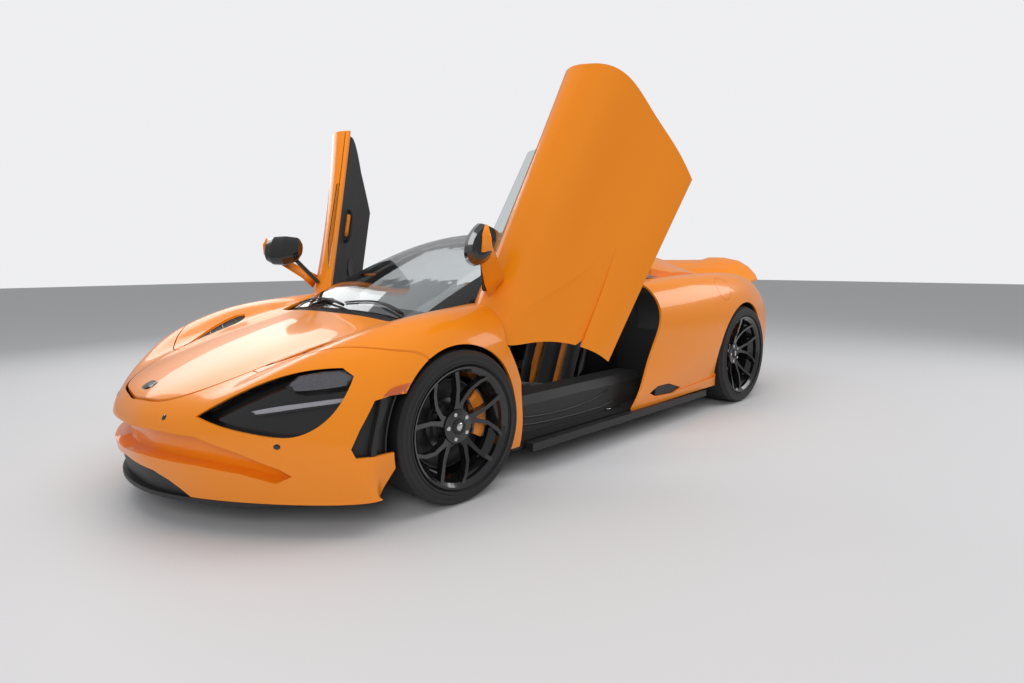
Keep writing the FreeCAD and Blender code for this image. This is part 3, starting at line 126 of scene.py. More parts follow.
def new_material(name):
    material = bpy.data.materials.new(name)
    material.use_nodes = True
    tree = material.node_tree
    tree.nodes.clear()
    output = tree.nodes.new("ShaderNodeOutputMaterial")
    return material, tree, output


def wire(tree, pairs):
    for start, end in pairs:
        tree.links.new(start, end)


def set_inputs(node, values):
    for label, value in values.items():
        node.inputs[label].default_value = value


# %% Floor, world and lamps
def world_light(strength, light_tone, seen_tone):
    scene.world = bpy.data.worlds.new("studio")
    scene.world.use_nodes = True
    tree = scene.world.node_tree
    tree.nodes.clear()
    output, soft, seen, path, most, mix = (tree.nodes.new("ShaderNode" + kind) for kind in (
        "OutputWorld", "Background", "Background", "LightPath", "Math", "MixShader"))
    set_inputs(soft, {"Color": light_tone, "Strength": strength})
    set_inputs(seen, {"Color": seen_tone})
    most.operation = "MAXIMUM"
    wire(tree, ((path.outputs["Is Camera Ray"], most.inputs[0]),
                (path.outputs["Is Transmission Ray"], most.inputs[1]), (most.outputs[0], mix.inputs["Fac"]),
                (soft.outputs[0], mix.inputs[1]), (seen.outputs[0], mix.inputs[2]),
                (mix.outputs[0], output.inputs["Surface"])))


def soft_lamp(name, place, aim, size, power, glossy):
    data = bpy.data.lights.new(name, "AREA")
    data.shape = "RECTANGLE"
    data.size, data.size_y = size
    data.energy = power
    lamp = new_object(name, data)
    lamp.location = place
    lamp.rotation_euler = (Vector(aim) - Vector(place)).to_track_quat("-Z", "Y").to_euler()
    lamp.visible_glossy = glossy


floor_size, floor_roughness = 30.0, 0.6
floor_tone, light_tone, seen_tone = (0.72, 0.72, 0.73, 1), (0.93, 0.94, 0.96, 1), (0.86, 0.86, 0.88, 1)
world_strength = 0.42
floor = mesh_object("floor", [(-floor_size, -floor_size, 0), (floor_size, -floor_size, 0),
                              (floor_size, floor_size, 0), (-floor_size, floor_size, 0)], [(0, 1, 2, 3)])
floor_paint, tree, output = new_material("pale floor")
shader = tree.nodes.new("ShaderNodeBsdfPrincipled")
set_inputs(shader, {"Base Color": floor_tone, "Roughness": floor_roughness})
wire(tree, [(shader.outputs[0], output.inputs["Surface"])])
floor.data.materials.append(floor_paint)
floor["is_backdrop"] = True
world_light(world_strength, light_tone, seen_tone)
# Each lamp has a place, a point it faces, its size, its power, and whether reflections show it.
lamps = (("overhead", (0.5, 0.5, 4.6), (0, 0, 0), (6.0, 4.0), 135, False),
         ("front left", (5.0, 4.5, 3.2), (0.5, 0, 0.5), (3.0, 2.4), 95, False),
         ("behind", (-4.5, 3.5, 3.0), (-0.5, 0, 0.6), (3.0, 2.0), 60, True),
         ("far side", (1.0, -5.0, 3.2), (0, 0, 0.6), (4.0, 2.0), 60, True))
for lamp in lamps:
    soft_lamp(*lamp)
print("lamps", len(bpy.data.lights))

# %% [markdown]
# ## Shared surface effects
# No real surface is quite even. A picture could give the unevenness, but it needs a file and a map of the mesh,
# while noise needs neither. A group is built once and used in every finish: it gives a mask that shifts colour and
# roughness, and a height for a Bump node. Object coordinates keep it fixed to the piece.

# %% Shared shader groups
def shader_group(name, inputs, outputs):
    group = bpy.data.node_groups.new(name, "ShaderNodeTree")
    for label, kind, value in inputs:
        socket = group.interface.new_socket(label, in_out="INPUT", socket_type=kind)
        socket.default_value = value
    for label, kind in outputs:
        group.interface.new_socket(label, in_out="OUTPUT", socket_type=kind)
    return group, group.nodes.new("NodeGroupInput"), group.nodes.new("NodeGroupOutput")


def grain_group():
    group, source, sink = shader_group(
        "grain", [("Scale", "NodeSocketFloat", 400.0), ("Detail", "NodeSocketFloat", 3.0)],
        [("Mask", "NodeSocketFloat"), ("Height", "NodeSocketFloat")])
    place, fine, cells = (group.nodes.new("ShaderNode" + kind) for kind in ("TexCoord", "TexNoise", "TexVoronoi"))
    wire(group, ((place.outputs["Object"], fine.inputs["Vector"]), (place.outputs["Object"], cells.inputs["Vector"]),
                 (source.outputs["Scale"], fine.inputs["Scale"]), (source.outputs["Scale"], cells.inputs["Scale"]),
                 (source.outputs["Detail"], fine.inputs["Detail"]), (fine.outputs["Fac"], sink.inputs["Mask"]),
                 (cells.outputs["Distance"], sink.inputs["Height"])))
    return group


grain = grain_group()


coat_roughness, bump_distance = 0.03, 0.001


def finish_material(name, color, roughness, metallic=0.0, coat=0.0, scale=300.0, bump=0.02, shift=0.06,
                    spread=0.1, use_cells=False, **sockets):
    material, tree, output = new_material(name)
    shader, effect, tone, rough, lift = (tree.nodes.new("ShaderNode" + kind) for kind in (
        "BsdfPrincipled", "Group", "Mix", "MapRange", "Bump"))
    set_inputs(shader, {"Metallic": metallic, "Coat Weight": coat, "Coat Roughness": coat_roughness})
    set_inputs(shader, {label.replace("_", " "): value for label, value in sockets.items()})
    effect.node_tree = grain
    set_inputs(effect, {"Scale": scale})
    tone.data_type = "RGBA"
    tone.inputs[6].default_value = (*[c * (1 - shift) for c in color], 1)
    tone.inputs[7].default_value = (*[min(1, c * (1 + shift)) for c in color], 1)
    set_inputs(rough, {"To Min": roughness * (1 - spread), "To Max": roughness * (1 + spread)})
    set_inputs(lift, {"Strength": bump, "Distance": bump_distance})
    wire(tree, ((effect.outputs["Mask"], tone.inputs["Factor"]), (effect.outputs["Mask"], rough.inputs["Value"]),
                (effect.outputs["Height" if use_cells else "Mask"], lift.inputs["Height"]),
                (tone.outputs[2], shader.inputs["Base Color"]),
                (rough.outputs["Result"], shader.inputs["Roughness"]),
                (lift.outputs["Normal"], shader.inputs["Normal"]), (shader.outputs[0], output.inputs["Surface"])))
    return material


orange = (0.95, 0.275, 0.006)
paint = finish_material("orange paint", orange, 0.30, coat=0.5, scale=2600, bump=0.01, shift=0.05,
                        Specular_IOR_Level=0.3)
gloss_black = finish_material("gloss black", (0.010, 0.010, 0.011), 0.12, coat=0.6, scale=90, bump=0.005, spread=0.4)
satin_black = finish_material("satin black plastic", (0.018, 0.018, 0.019), 0.5, scale=900, bump=0.25,
                              use_cells=True)
lining = finish_material("black lining", (0.020, 0.020, 0.021), 0.62, scale=700, bump=0.3, use_cells=True)
rubber = finish_material("tyre rubber", (0.020, 0.020, 0.021), 0.62, scale=240, bump=0.12, shift=0.2)
rim_black = finish_material("gloss black rim", (0.012, 0.012, 0.013), 0.16, metallic=0.3, coat=0.8, scale=1200)
iron = finish_material("disc iron", (0.16, 0.16, 0.165), 0.36, metallic=0.9, scale=500, bump=0.1)
cast = finish_material("cast alloy", (0.20, 0.20, 0.21), 0.5, metallic=0.8, scale=300, bump=0.3, use_cells=True)
steel = finish_material("brushed steel", (0.42, 0.40, 0.37), 0.3, metallic=1.0, scale=400, bump=0.1)
red_lens = finish_material("red lens", (0.35, 0.008, 0.006), 0.12, coat=0.8, scale=60)
glass = finish_material("tinted glass", (0.62, 0.66, 0.66), 0.02, scale=40, bump=0.0, shift=0.02,
                        Transmission_Weight=1.0, IOR=1.45)
print("finishes", len(bpy.data.materials))

# %% [markdown]
# ## Finishes on the solid panels
# Car paint is a colour under a clear coat, so its Principled BSDF has a coat besides its own roughness. Rubber and
# plastic have none, and glass lets light through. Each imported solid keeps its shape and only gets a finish. They
# could be given one by one, but the record's slots already say which solid is painted, black, cast or glass.

# %% Give every solid its finish
slot_finish = {"paint": paint, "gloss_black": gloss_black, "black_plastic": satin_black, "door_lining": lining,
               "leather": lining, "glass": glass, "lamp": gloss_black, "tail_lamp": red_lens, "tyre": rubber,
               "rim": rim_black, "disc": iron, "cast": cast, "steel": steel}
node_slot = {part["node"]: part["material_slot"] for part in frame["record"]["subparts"]}
for name, obj in nodes.items():
    dress(obj, slot_finish[node_slot[name]], True)
print("dressed", len(nodes))

# %% [markdown]
# ## Tools for laying pieces on the panels
# Lenses and reflectors follow the curved panel that carries them. A Shrinkwrap modifier could pull a flat piece onto
# the panel, but it slides the edges where the panel bends. Here a ray from one side finds the panel at each point of
# the outline, and the piece is built a hair above the hit. Round pieces are turned from a profile, and bars and pipes
# are lofted through rings, which keeps their section even along the whole way.

# %% Rays onto the solids and pieces on both sides
trees = {}


def shape_tree(mesh, move=Matrix()):
    return BVHTree.FromPolygons([(move @ v.co)[:] for v in mesh.vertices], [p.vertices[:] for p in mesh.polygons])


def tree_of(name):
    if name not in trees:
        trees[name] = shape_tree(nodes[name].data)
    return trees[name]


lamp_way = Vector((1.0, 0.3, 0.15))
view_high, view_aside, view_ahead, lamp_run = 2.5, 2.5, 4.0, 3
views = {"above": lambda a, b: (Vector((a, b, view_high)), Vector((0, 0, -1))),
         "left": lambda a, b: (Vector((a, view_aside, b)), Vector((0, -1, 0))),
         "front": lambda a, b: (Vector((view_ahead, a, b)), Vector((-1, 0, 0))),
         "behind": lambda a, b: (Vector((-view_ahead, a, b)), Vector((1, 0, 0))),
         "lamp": lambda a, b: (Vector((0, a, b)) + lamp_way * lamp_run, -lamp_way.normalized())}


def first_hit(hosts, start, way):
    found = [tree_of(host).ray_cast(start, way) for host in hosts]
    found = [hit for hit in found if hit[0] is not None]
    return min(found, key=lambda hit: hit[3]) if found else None


def finish_piece(obj, body, finish, smooth=True):
    dress(obj, finish, smooth)
    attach(obj, body)
    return obj


same_place = 0.00002


def outward(mesh):
    work = bmesh.new()
    work.from_mesh(mesh)
    bmesh.ops.remove_doubles(work, verts=work.verts, dist=same_place)
    bmesh.ops.recalc_face_normals(work, faces=work.faces)
    work.to_mesh(mesh)
    work.free()
    mesh.update()


def opposite(obj, name, body, finish, smooth=True):
    mesh = obj.data.copy()
    mesh.transform(Matrix.Scale(-1, 4, (0, 1, 0)))
    mesh.flip_normals()
    mesh.update()
    return finish_piece(new_object(name, mesh), body, finish, smooth)


def both_sides(obj, body, finish, smooth=True):
    finish_piece(obj, body, finish, smooth)
    name = obj.name.replace("_left", "_right")
    return opposite(obj, name, body.replace("left", "right"), finish, smooth)


# %% A thin piece that follows a panel
def rounded(corners, steps=4):
    count = len(corners)
    ring = []
    for i in range(count):
        a, b, c, d = (Vector(corners[(i + k) % count]) for k in (-1, 0, 1, 2))
        for step in range(steps):
            t = step / steps
            square, cube = 2 * a - 5 * b + 4 * c - d, 3 * b - a - 3 * c + d
            ring.append((2 * b + (c - a) * t + square * t * t + cube * t ** 3) / 2)
    return ring


def lamp_view(corners):
    return [(y - lamp_way.y * x, z - lamp_way.z * x) for x, y, z in corners]


def in_ring(point, ring):
    odd = False
    for i, b in enumerate(ring):
        a = ring[i - 1]
        if (a.y > point.y) != (b.y > point.y):
            odd ^= point.x < a.x + (point.y - a.y) / (b.y - a.y) * (b.x - a.x)
    return odd


least_gap_share, merge_within = 0.4, 1e-6


def draped(name, corners, view, hosts, lift, thickness, cell, steps=4):
    ring = rounded(corners, steps)
    points = list(ring)
    xs, ys = [p.x for p in ring], [p.y for p in ring]
    for i in range(1, int((max(xs) - min(xs)) / cell) + 1):
        for j in range(1, int((max(ys) - min(ys)) / cell) + 1):
            spot = Vector((min(xs) + i * cell, min(ys) + j * cell))
            if in_ring(spot, ring) and min((spot - p).length for p in ring) > cell * least_gap_share:
                points.append(spot)
    result = delaunay_2d_cdt(points, [], [list(range(len(ring)))], 1, merge_within)
    flat, faces = result[0], result[2]
    top, bottom = {}, {}
    for i, spot in enumerate(flat):
        start, way = views[view](spot.x, spot.y)
        hit = first_hit(hosts, start, way)
        if hit:
            normal = -hit[1] if hit[1].dot(way) > 0 else hit[1]
            top[i] = hit[0] + normal * lift
            bottom[i] = hit[0] + normal * (lift - thickness)
    keep = [f for f in faces if all(i in top for i in f)]
    used = sorted({i for f in keep for i in f})
    index = {old: new for new, old in enumerate(used)}
    count = len(used)
    shell = [tuple(index[i] for i in f) for f in keep]
    sides = {(f[i - 1], f[i]): True for f in shell for i in range(len(f))}
    walls = [(b, a, a + count, b + count) for a, b in sides if (b, a) not in sides]
    under = [tuple(i + count for i in reversed(f)) for f in shell]
    obj = mesh_object(name, [top[i] for i in used] + [bottom[i] for i in used], shell + under + walls)
    outward(obj.data)
    return obj


# %% Turned pieces, tubes and lofts
def turns(sides):
    return [2 * math.pi * k / sides for k in range(sides)]


def circle_y(x, y, z, radius, sides):
    return [(x + radius * math.cos(turn), y, z + radius * math.sin(turn)) for turn in turns(sides)]


def circle_x(x, y, z, radius, sides):
    return [(x, y + radius * math.cos(turn), z + radius * math.sin(turn)) for turn in turns(sides)]


def turned(name, profile, centre_x, centre_z, segments):
    points, faces = [], []
    count = len(profile)
    for s, turn in enumerate(turns(segments)):
        points += [(centre_x + radius * math.cos(turn), y, centre_z + radius * math.sin(turn)) for radius, y in profile]
        n = (s + 1) % segments
        for k in range(count):
            faces.append((s * count + k, s * count + (k + 1) % count, n * count + (k + 1) % count, n * count + k))
    obj = mesh_object(name, points, faces)
    outward(obj.data)
    return obj


steep = 0.9


def tube(name, path, radius, sides):
    path = [Vector(p) for p in path]
    rings = []
    side = None
    for i, p in enumerate(path):
        way = (path[min(i + 1, len(path) - 1)] - path[max(i - 1, 0)]).normalized()
        guess = side if side else (Vector((0, 0, 1)) if abs(way.z) < steep else Vector((1, 0, 0)))
        side = (guess - way * guess.dot(way)).normalized()
        across = way.cross(side)
        rings.append([p + (side * math.cos(turn) + across * math.sin(turn)) * radius for turn in turns(sides)])
    return lofted(name, rings)


def lofted(name, rings, closed_ends=True):
    count = len(rings[0])
    points = [p for ring in rings for p in ring]
    faces = []
    for start in range(0, len(points) - count, count):
        for k in range(count):
            n = (k + 1) % count
            faces.append((start + k, start + n, start + count + n, start + count + k))
    if closed_ends:
        faces.append(tuple(range(count)))
        faces.append(tuple(range(len(points) - count, len(points))))
    obj = mesh_object(name, points, faces)
    outward(obj.data)
    return obj


def baked(obj, name):
    bpy.context.view_layer.update()
    mesh = bpy.data.meshes.new_from_object(obj.evaluated_get(bpy.context.evaluated_depsgraph_get()))
    result = new_object(name, mesh)
    bpy.data.objects.remove(obj)
    return result


print("tools ready")

# %% [markdown]
# ## Repeats round an axle
# Tread blocks, wheel bolts and the holes of a brake disc all stand in a ring round the axle. An Array modifier could
# repeat them, but it needs a helper object to turn each copy. One Geometry Nodes tree does it from plain numbers: it
# takes one piece, drawn at the top of the ring with the axle at the origin, copies it a number of times, turns each
# copy further, and moves the ring to its place. The part that copies, moves and finishes is shared with a grid below.

# %% Geometry Nodes tree for a ring of copies
def copies_tree(name, inputs, kinds):
    tree = bpy.data.node_groups.new(name, "GeometryNodeTree")
    for label, kind, value in (("Geometry", "Geometry", None), *inputs, ("Place", "Vector", (0, 0, 0)),
                               ("Finish", "Material", None)):
        socket = tree.interface.new_socket(label, in_out="INPUT", socket_type="NodeSocket" + kind)
        if value is not None:
            socket.default_value = value
    tree.interface.new_socket("Geometry", in_out="OUTPUT", socket_type="NodeSocketGeometry")
    source, sink, copies, real, move, coat, *others = (tree.nodes.new(kind) for kind in (
        "NodeGroupInput", "NodeGroupOutput", "GeometryNodeInstanceOnPoints", "GeometryNodeRealizeInstances",
        "GeometryNodeTransform", "GeometryNodeSetMaterial", *kinds))
    wire(tree, ((source.outputs["Geometry"], copies.inputs["Instance"]), (copies.outputs[0], real.inputs[0]),
                (real.outputs[0], move.inputs["Geometry"]), (source.outputs["Place"], move.inputs["Translation"]),
                (move.outputs[0], coat.inputs["Geometry"]), (source.outputs["Finish"], coat.inputs["Material"]),
                (coat.outputs[0], sink.inputs[0])))
    return tree, source, copies, move, others


def ring_tree():
    tree, source, copies, _, (points, index, rotation, share, angle) = copies_tree(
        "ring of copies", (("Count", "Int", 12), ("Turn", "Float", 0.0)),
        ("GeometryNodePoints", "GeometryNodeInputIndex", "ShaderNodeCombineXYZ", "ShaderNodeMath", "ShaderNodeMath"))
    share.operation, angle.operation = "DIVIDE", "MULTIPLY_ADD"
    angle.inputs[1].default_value = 2 * math.pi
    wire(tree, ((source.outputs["Count"], points.inputs["Count"]), (points.outputs[0], copies.inputs["Points"]),
                (index.outputs[0], share.inputs[0]), (source.outputs["Count"], share.inputs[1]),
                (share.outputs[0], angle.inputs[0]), (source.outputs["Turn"], angle.inputs[2]),
                (angle.outputs[0], rotation.inputs["Y"]), (rotation.outputs[0], copies.inputs["Rotation"])))
    return tree


ring_of_copies = ring_tree()


def copied(piece, name, tree, values, body, finish):
    modifier = piece.modifiers.new(tree.name, "NODES")
    modifier.node_group = tree
    sockets = {item.name: item.identifier for item in tree.interface.items_tree if item.in_out == "INPUT"}
    for label, value in {**values, "Finish": finish}.items():
        modifier[sockets[label]] = value
    return finish_piece(baked(piece, name), body, finish, False)


print("tree", ring_of_copies.name)

# %% [markdown]
# ## Finishes for the small pieces
# The calipers and the seats' inserts share the paint's colour on other surfaces. A lamp's lens is clear over a pale
# grey inside. Real clear glass over a modelled inside would do as well, but on so small a piece a glossy grey looks
# the same and renders faster. Reflectors use the cell pattern of the shared group for their prisms.

# %% More finishes
caliper_orange = finish_material("caliper orange", (0.93, 0.27, 0.012), 0.34, coat=0.5, scale=500, bump=0.08)
lens_grey = finish_material("lens grey", (0.085, 0.085, 0.095), 0.10, coat=1.0, scale=160, bump=0.02, shift=0.35,
                            spread=0.4)
light_bar = finish_material("light bar", (0.30, 0.30, 0.33), 0.18, coat=1.0, scale=240, bump=0.05, shift=0.2)
amber = finish_material("amber reflector", (0.62, 0.10, 0.01), 0.2, coat=1.0, scale=500, bump=0.5, use_cells=True)
chrome = finish_material("polished metal", (0.62, 0.62, 0.63), 0.14, metallic=1.0, scale=700, bump=0.02)
mirror_glass = finish_material("mirror glass", (0.75, 0.77, 0.80), 0.02, metallic=1.0, scale=50, bump=0.0,
                               shift=0.02)
drilled_iron = finish_material("drilled disc", (0.05, 0.05, 0.052), 0.45, metallic=0.7, scale=420, bump=0.1)
rubber_seal = finish_material("seal rubber", (0.022, 0.022, 0.024), 0.38, scale=500, bump=0.1)
seat_black = finish_material("seat suede", (0.016, 0.016, 0.017), 0.85, scale=1500, bump=0.5, shift=0.25,
                             use_cells=True, Sheen_Weight=0.35)
seat_orange = finish_material("seat orange leather", (0.80, 0.24, 0.02), 0.48, scale=900, bump=0.4, shift=0.12,
                              use_cells=True)
screen_glass = finish_material("display glass", (0.012, 0.013, 0.016), 0.06, coat=1.0, scale=60, bump=0.0, spread=0.5)
print("finishes", len(bpy.data.materials))

# %% [markdown]
# ## Wheels
# A low-profile tyre has moulded bands on its side and a tread of angled blocks. A picture of the tread would look
# flat at the tyre's edge, so the blocks are real: each is one wedge, and the ring tree sets it round the tyre in rows.
# The bands, the cap and the drilled face of the disc are turned from small profiles. Every wheel gets all of them
# from one function, so a changed size changes all four.

# %% Sizes of the wheels
wheel_sizes = {"front": {"axle": Vector((1.2645, 0, 0.326)), "track": 0.837, "radius": 0.326, "width": 0.245,
                         "rim": 0.2585, "hub": 0.915, "disc": 0.8207, "disc_radius": 0.192, "caliper": 172,
                         "carrier": "knuckle_{}_body"},
               "rear": {"axle": Vector((-1.4055, 0, 0.345)), "track": 0.806, "radius": 0.345, "width": 0.305,
                        "rim": 0.2715, "hub": 0.884, "disc": 0.7897, "disc_radius": 0.190, "caliper": 8,
                        "carrier": "chassis"}}
block_root, block_depth, block_flare = 0.002, 0.0035, 0.0012


# %% One tread block, drawn at the top of the tyre
def tread_block(name, y_low, y_high, radius, length, slant):
    half = length / 2
    corners = []
    for lift, grow in ((radius - block_root, block_flare), (radius + block_depth, 0.0)):
        for x, y in ((-half - grow, y_low - grow), (half + grow, y_low - grow), (half + grow + slant, y_high + grow),
                     (-half - grow + slant, y_high + grow)):
            corners.append((x, y, lift))
    faces = [(0, 3, 2, 1), (4, 5, 6, 7), (0, 1, 5, 4), (1, 2, 6, 5), (2, 3, 7, 6), (3, 0, 4, 7)]
    return mesh_object(name, corners, faces)


# %% Everything on one wheel
# A band starts and ends at heights over the rim and stands out a little. A row of blocks lies between two shares of
# half the tread, and then come its slant and its count. The profiles are radii and steps outwards from their place.
band_edge, band_root, side_inset = 0.0008, -0.003, 0.001
side_slope, slope_start = 0.4 / 3, 0.022
sidewall_bands = ((0.012, 0.020, 0.0022), (0.034, 0.037, 0.0014), (0.042, 0.0445, 0.0012))
tread_share, block_share, row_turn = 0.79, 0.80, 0.02
tread_rows = ((-0.96, -0.56, 0.010, 66), (-0.50, -0.06, 0.008, 58), (0.06, 0.50, -0.008, 58),
              (0.56, 0.96, -0.010, 66))
cap_profile = ((0.0, 0.010), (0.012, 0.0098), (0.026, 0.0075), (0.034, 0.003), (0.035, -0.002), (0.030, -0.012),
               (0.0, -0.012))
cap_disc_profile = ((0.0, 0.0112), (0.017, 0.0100), (0.018, 0.0085), (0.0, 0.0085))
bolt_sections, bolt_circle, bolt_count, bolt_turn = ((-0.007, 0.0105), (0.001, 0.0105), (0.003, 0.0085)), 0.055, 5, 0.31
disc_proud, disc_inner = 0.016, 0.112
hole_sections, hole_turn = ((0.0006, 0.0042), (0.0014, 0.0036)), 0.07
hole_rows = ((0.130, 24), (0.152, 28), (0.174, 32))


def dress_wheel(end, side):
    size = wheel_sizes[end]
    sign = 1 if side == "left" else -1
    axle, radius, rim = size["axle"], size["radius"], size["rim"]
    middle, half, hub = size["track"] * sign, size["width"] / 2, size["hub"] * sign
    body, tag = "wheel_{}_{}".format(end, side), "_{}_{}".format(end, side)

    def turned_part(name, profile, place, segments, finish):
        profile = [(r, place + sign * y) for r, y in profile]
        finish_piece(turned(name + tag, profile, axle.x, axle.z, segments), body, finish)

    def ring_part(piece, name, count, turn, finish):
        values = {"Count": count, "Place": (axle.x, 0, axle.z), "Turn": turn}
        copied(piece, name + tag, ring_of_copies, values, body, finish)

    for number, (low, high, proud) in enumerate(sidewall_bands):
        drop = side_slope * max(0, low - slope_start)
        low, high = rim + low, rim + high
        band = [(low, band_root), (low + band_edge, proud), (high - band_edge, proud), (high, band_root)]
        place = middle + sign * (half - side_inset - drop)
        turned_part("sidewall_band_{}".format(number), band, place, 128, rubber)
    tread = half * tread_share
    for row, (low, high, slant, count) in enumerate(tread_rows):
        block = tread_block("tread_seed", middle + low * tread, middle + high * tread, radius - block_depth,
                            2 * math.pi * radius / count * block_share, slant)
        ring_part(block, "tread_row_{}".format(row), count, row * row_turn, rubber)
    turned_part("wheel_cap", cap_profile, hub, 48, satin_black)
    turned_part("cap_disc", cap_disc_profile, hub, 40, chrome)
    bolt = lofted("bolt_seed", [circle_y(0, hub + sign * y, bolt_circle, r, 6) for y, r in bolt_sections])
    ring_part(bolt, "wheel_bolts", bolt_count, bolt_turn, chrome)
    face, outer = sign * (size["disc"] + disc_proud), size["disc_radius"]
    skin = [(disc_inner, -0.0002), (disc_inner + 0.001, 0.0008), (outer - 0.003, 0.0008), (outer - 0.002, -0.0002)]
    turned_part("disc_face", skin, face, 96, drilled_iron)
    # The disc's holes are not cut: each is a small black dot standing on the face, and its black is painted shade for
    # the depth of the hole.
    for row, (place, count) in enumerate(hole_rows):
        hole = lofted("hole_seed", [circle_y(0, face + sign * y, place, r, 8) for y, r in hole_sections])
        ring_part(hole, "disc_holes_{}".format(row), count, row * hole_turn, satin_black)


for end in wheel_sizes:
    for side in ("left", "right"):
        dress_wheel(end, side)

# %% [markdown]
# ## Brake calipers
# The caliper straddles the disc's edge, and its painted outer half has a few cooling ribs. A bent box would lose its
# even thickness, so the shell is lofted through sections that stand round the axle. It rides on the piece that
# carries the real caliper, and so it steers with the front wheels but doesn't spin.

# %% Orange caliper shells
caliper_sides, caliper_inner, caliper_reach = (0.0225, 0.0515), 0.1265, 0.0125
caliper_half_turn, caliper_steps, rib_height = math.radians(35.5), 18, 0.0025
pinch_share, pinch_power = 0.28, 6


def caliper_shell(end):
    size = wheel_sizes[end]
    axle = size["axle"]
    low_y, high_y = (size["disc"] + y for y in caliper_sides)
    outer = size["disc_radius"] + caliper_reach
    middle = (caliper_inner + outer) / 2
    rings = []
    for k in range(caliper_steps + 1):
        share = -1 + 2 * k / caliper_steps
        angle = math.radians(size["caliper"]) + share * caliper_half_turn
        half = (outer - caliper_inner) / 2 * (1 - pinch_share * abs(share) ** pinch_power)
        ridge = rib_height if k % 4 == 2 else 0.0
        section = ((middle - half, low_y), (middle - half, high_y - 0.008), (middle - half * 0.7, high_y),
                   (middle + half * 0.2, high_y + ridge), (middle + half * 0.75, high_y - 0.003),
                   (middle + half, high_y - 0.010), (middle + half, low_y))
        rings.append([(axle.x + r * math.cos(angle), y, axle.z + r * math.sin(angle)) for r, y in section])
    return lofted("caliper_{}_left".format(end), rings)


for end in wheel_sizes:
    both_sides(caliper_shell(end), wheel_sizes[end]["carrier"].format("left"), caliper_orange, smooth=False)
print("calipers", 4)

# %% [markdown]
# ## Headlamps, side markers and small front pieces
# The lamp sits deep in a dark socket. A grey lens covers the lamp unit at the top, and a pale light bar runs along
# the blade below it. They could be cut from the solids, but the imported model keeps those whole, so each is draped on
# the solid that stands there, seen along the way that the socket opens.

# %% Lamp lenses and light bars
unit_corners = [(1.926, 0.722, 0.566), (1.888, 0.740, 0.600), (1.822, 0.794, 0.615), (1.752, 0.850, 0.618),
                (1.740, 0.873, 0.601), (1.769, 0.870, 0.571), (1.841, 0.822, 0.560), (1.902, 0.763, 0.554)]
bar_corners = [(2.044, 0.629, 0.474), (1.978, 0.706, 0.496), (1.880, 0.795, 0.512), (1.792, 0.872, 0.524),
               (1.797, 0.874, 0.511), (1.905, 0.788, 0.495), (2.022, 0.658, 0.469)]
for name, corners, lift, thickness, cell, finish in (
        ("lamp_lens_left", unit_corners, 0.0014, 0.003, 0.012, lens_grey),
        ("light_bar_left", bar_corners, 0.002, 0.004, 0.010, light_bar)):
    piece = draped(name, lamp_view(corners), "lamp", ["headlamps"], lift, thickness, cell)
    both_sides(piece, "chassis", finish)

# %% [markdown]
# ## Markers, sensors and a blank plate
# A side marker sits on the bumper's corner, parking sensors sit flush in the bumper, a round cap hides the towing
# eye, and a small blank plate closes the bonnet's tip. All are thin and follow their panel, so they are draped too.

# %% Markers, sensors and a blank plate
marker_corners = [(1.655, 0.513), (1.618, 0.546), (1.545, 0.556), (1.536, 0.548), (1.560, 0.522), (1.620, 0.510)]
marker = draped("side_marker_left", marker_corners, "left", ["bumper_front", "fender_left"], 0.0016, 0.0026, 0.012)
both_sides(marker, "chassis", amber)
plate_corners = [(-0.036, 0.500), (-0.036, 0.522), (0.036, 0.522), (0.036, 0.500)]
plate = draped("nose_plate", plate_corners, "front", ["bonnet", "bumper_front"], 0.0016, 0.0024, 0.012, steps=2)
finish_piece(plate, "bonnet_body", gloss_black)


def round_corners(a, b, radius, count):
    return [(x, z) for x, _, z in circle_y(a, 0, b, radius, count)]


for number, (y, z) in enumerate(((0.313, 0.435), (0.745, 0.358))):
    sensor = draped("park_sensor_{}_left".format(number), round_corners(y, z, 0.010, 10), "front", ["bumper_front"],
                    0.0012, 0.002, 0.006, steps=2)
    both_sides(sensor, "chassis", gloss_black)
tow_cap = draped("tow_cap", round_corners(-0.52, 0.20, 0.026, 14), "front", ["bumper_front"], 0.0008, 0.0016, 0.012,
                 steps=2)
finish_piece(tow_cap, "chassis", paint)

# %% [markdown]
# ## Vents in the fender tops
# A leaf-shaped recess lies along each side of the bonnet. Its floor is dark mesh under a few slanting slats. An array
# would make equal slats, but here each has its own length, so each is lofted between two points of the vent's floor.

# %% Vent floors and slats
leaf = [(1.878, 0.452), (1.823, 0.486), (1.727, 0.547), (1.635, 0.590), (1.545, 0.616), (1.508, 0.606), (1.516, 0.580),
        (1.565, 0.536), (1.650, 0.505), (1.786, 0.479)]
vent_floor = draped("top_vent_left", leaf, "above", ["fender_left"], 0.001, 0.002, 0.012)
both_sides(vent_floor, "chassis", satin_black)
vent_slats = ((1.80, 0.482, 0.494), (1.73, 0.496, 0.536), (1.66, 0.508, 0.570), (1.59, 0.526, 0.596))
slat_section, slat_slope = ((-0.003, 0.0004), (0.003, 0.0004), (0.001, 0.0062), (-0.001, 0.0062)), 0.3
for number, (x, low, high) in enumerate(vent_slats):
    ends = []
    for y in (low, high):
        start, way = views["above"](x - (y - low) * slat_slope, y)
        place = first_hit(["fender_left"], start, way)[0]
        ends.append([(place.x + a, place.y, place.z + b) for a, b in slat_section])
    slat = lofted("vent_slat_{}_left".format(number), ends)
    both_sides(slat, "chassis", gloss_black, smooth=False)
print("vent slats", 8)

# %% [markdown]
# ## Doors
# The doors stand open, turned up and forwards about a slanted line. Drawn like that, every point of a fitting would
# need slanted coordinates. So each fitting is drawn on the shut door and then swung by the door's own angle about its
# hinge line. The left one is mirrored for the right.

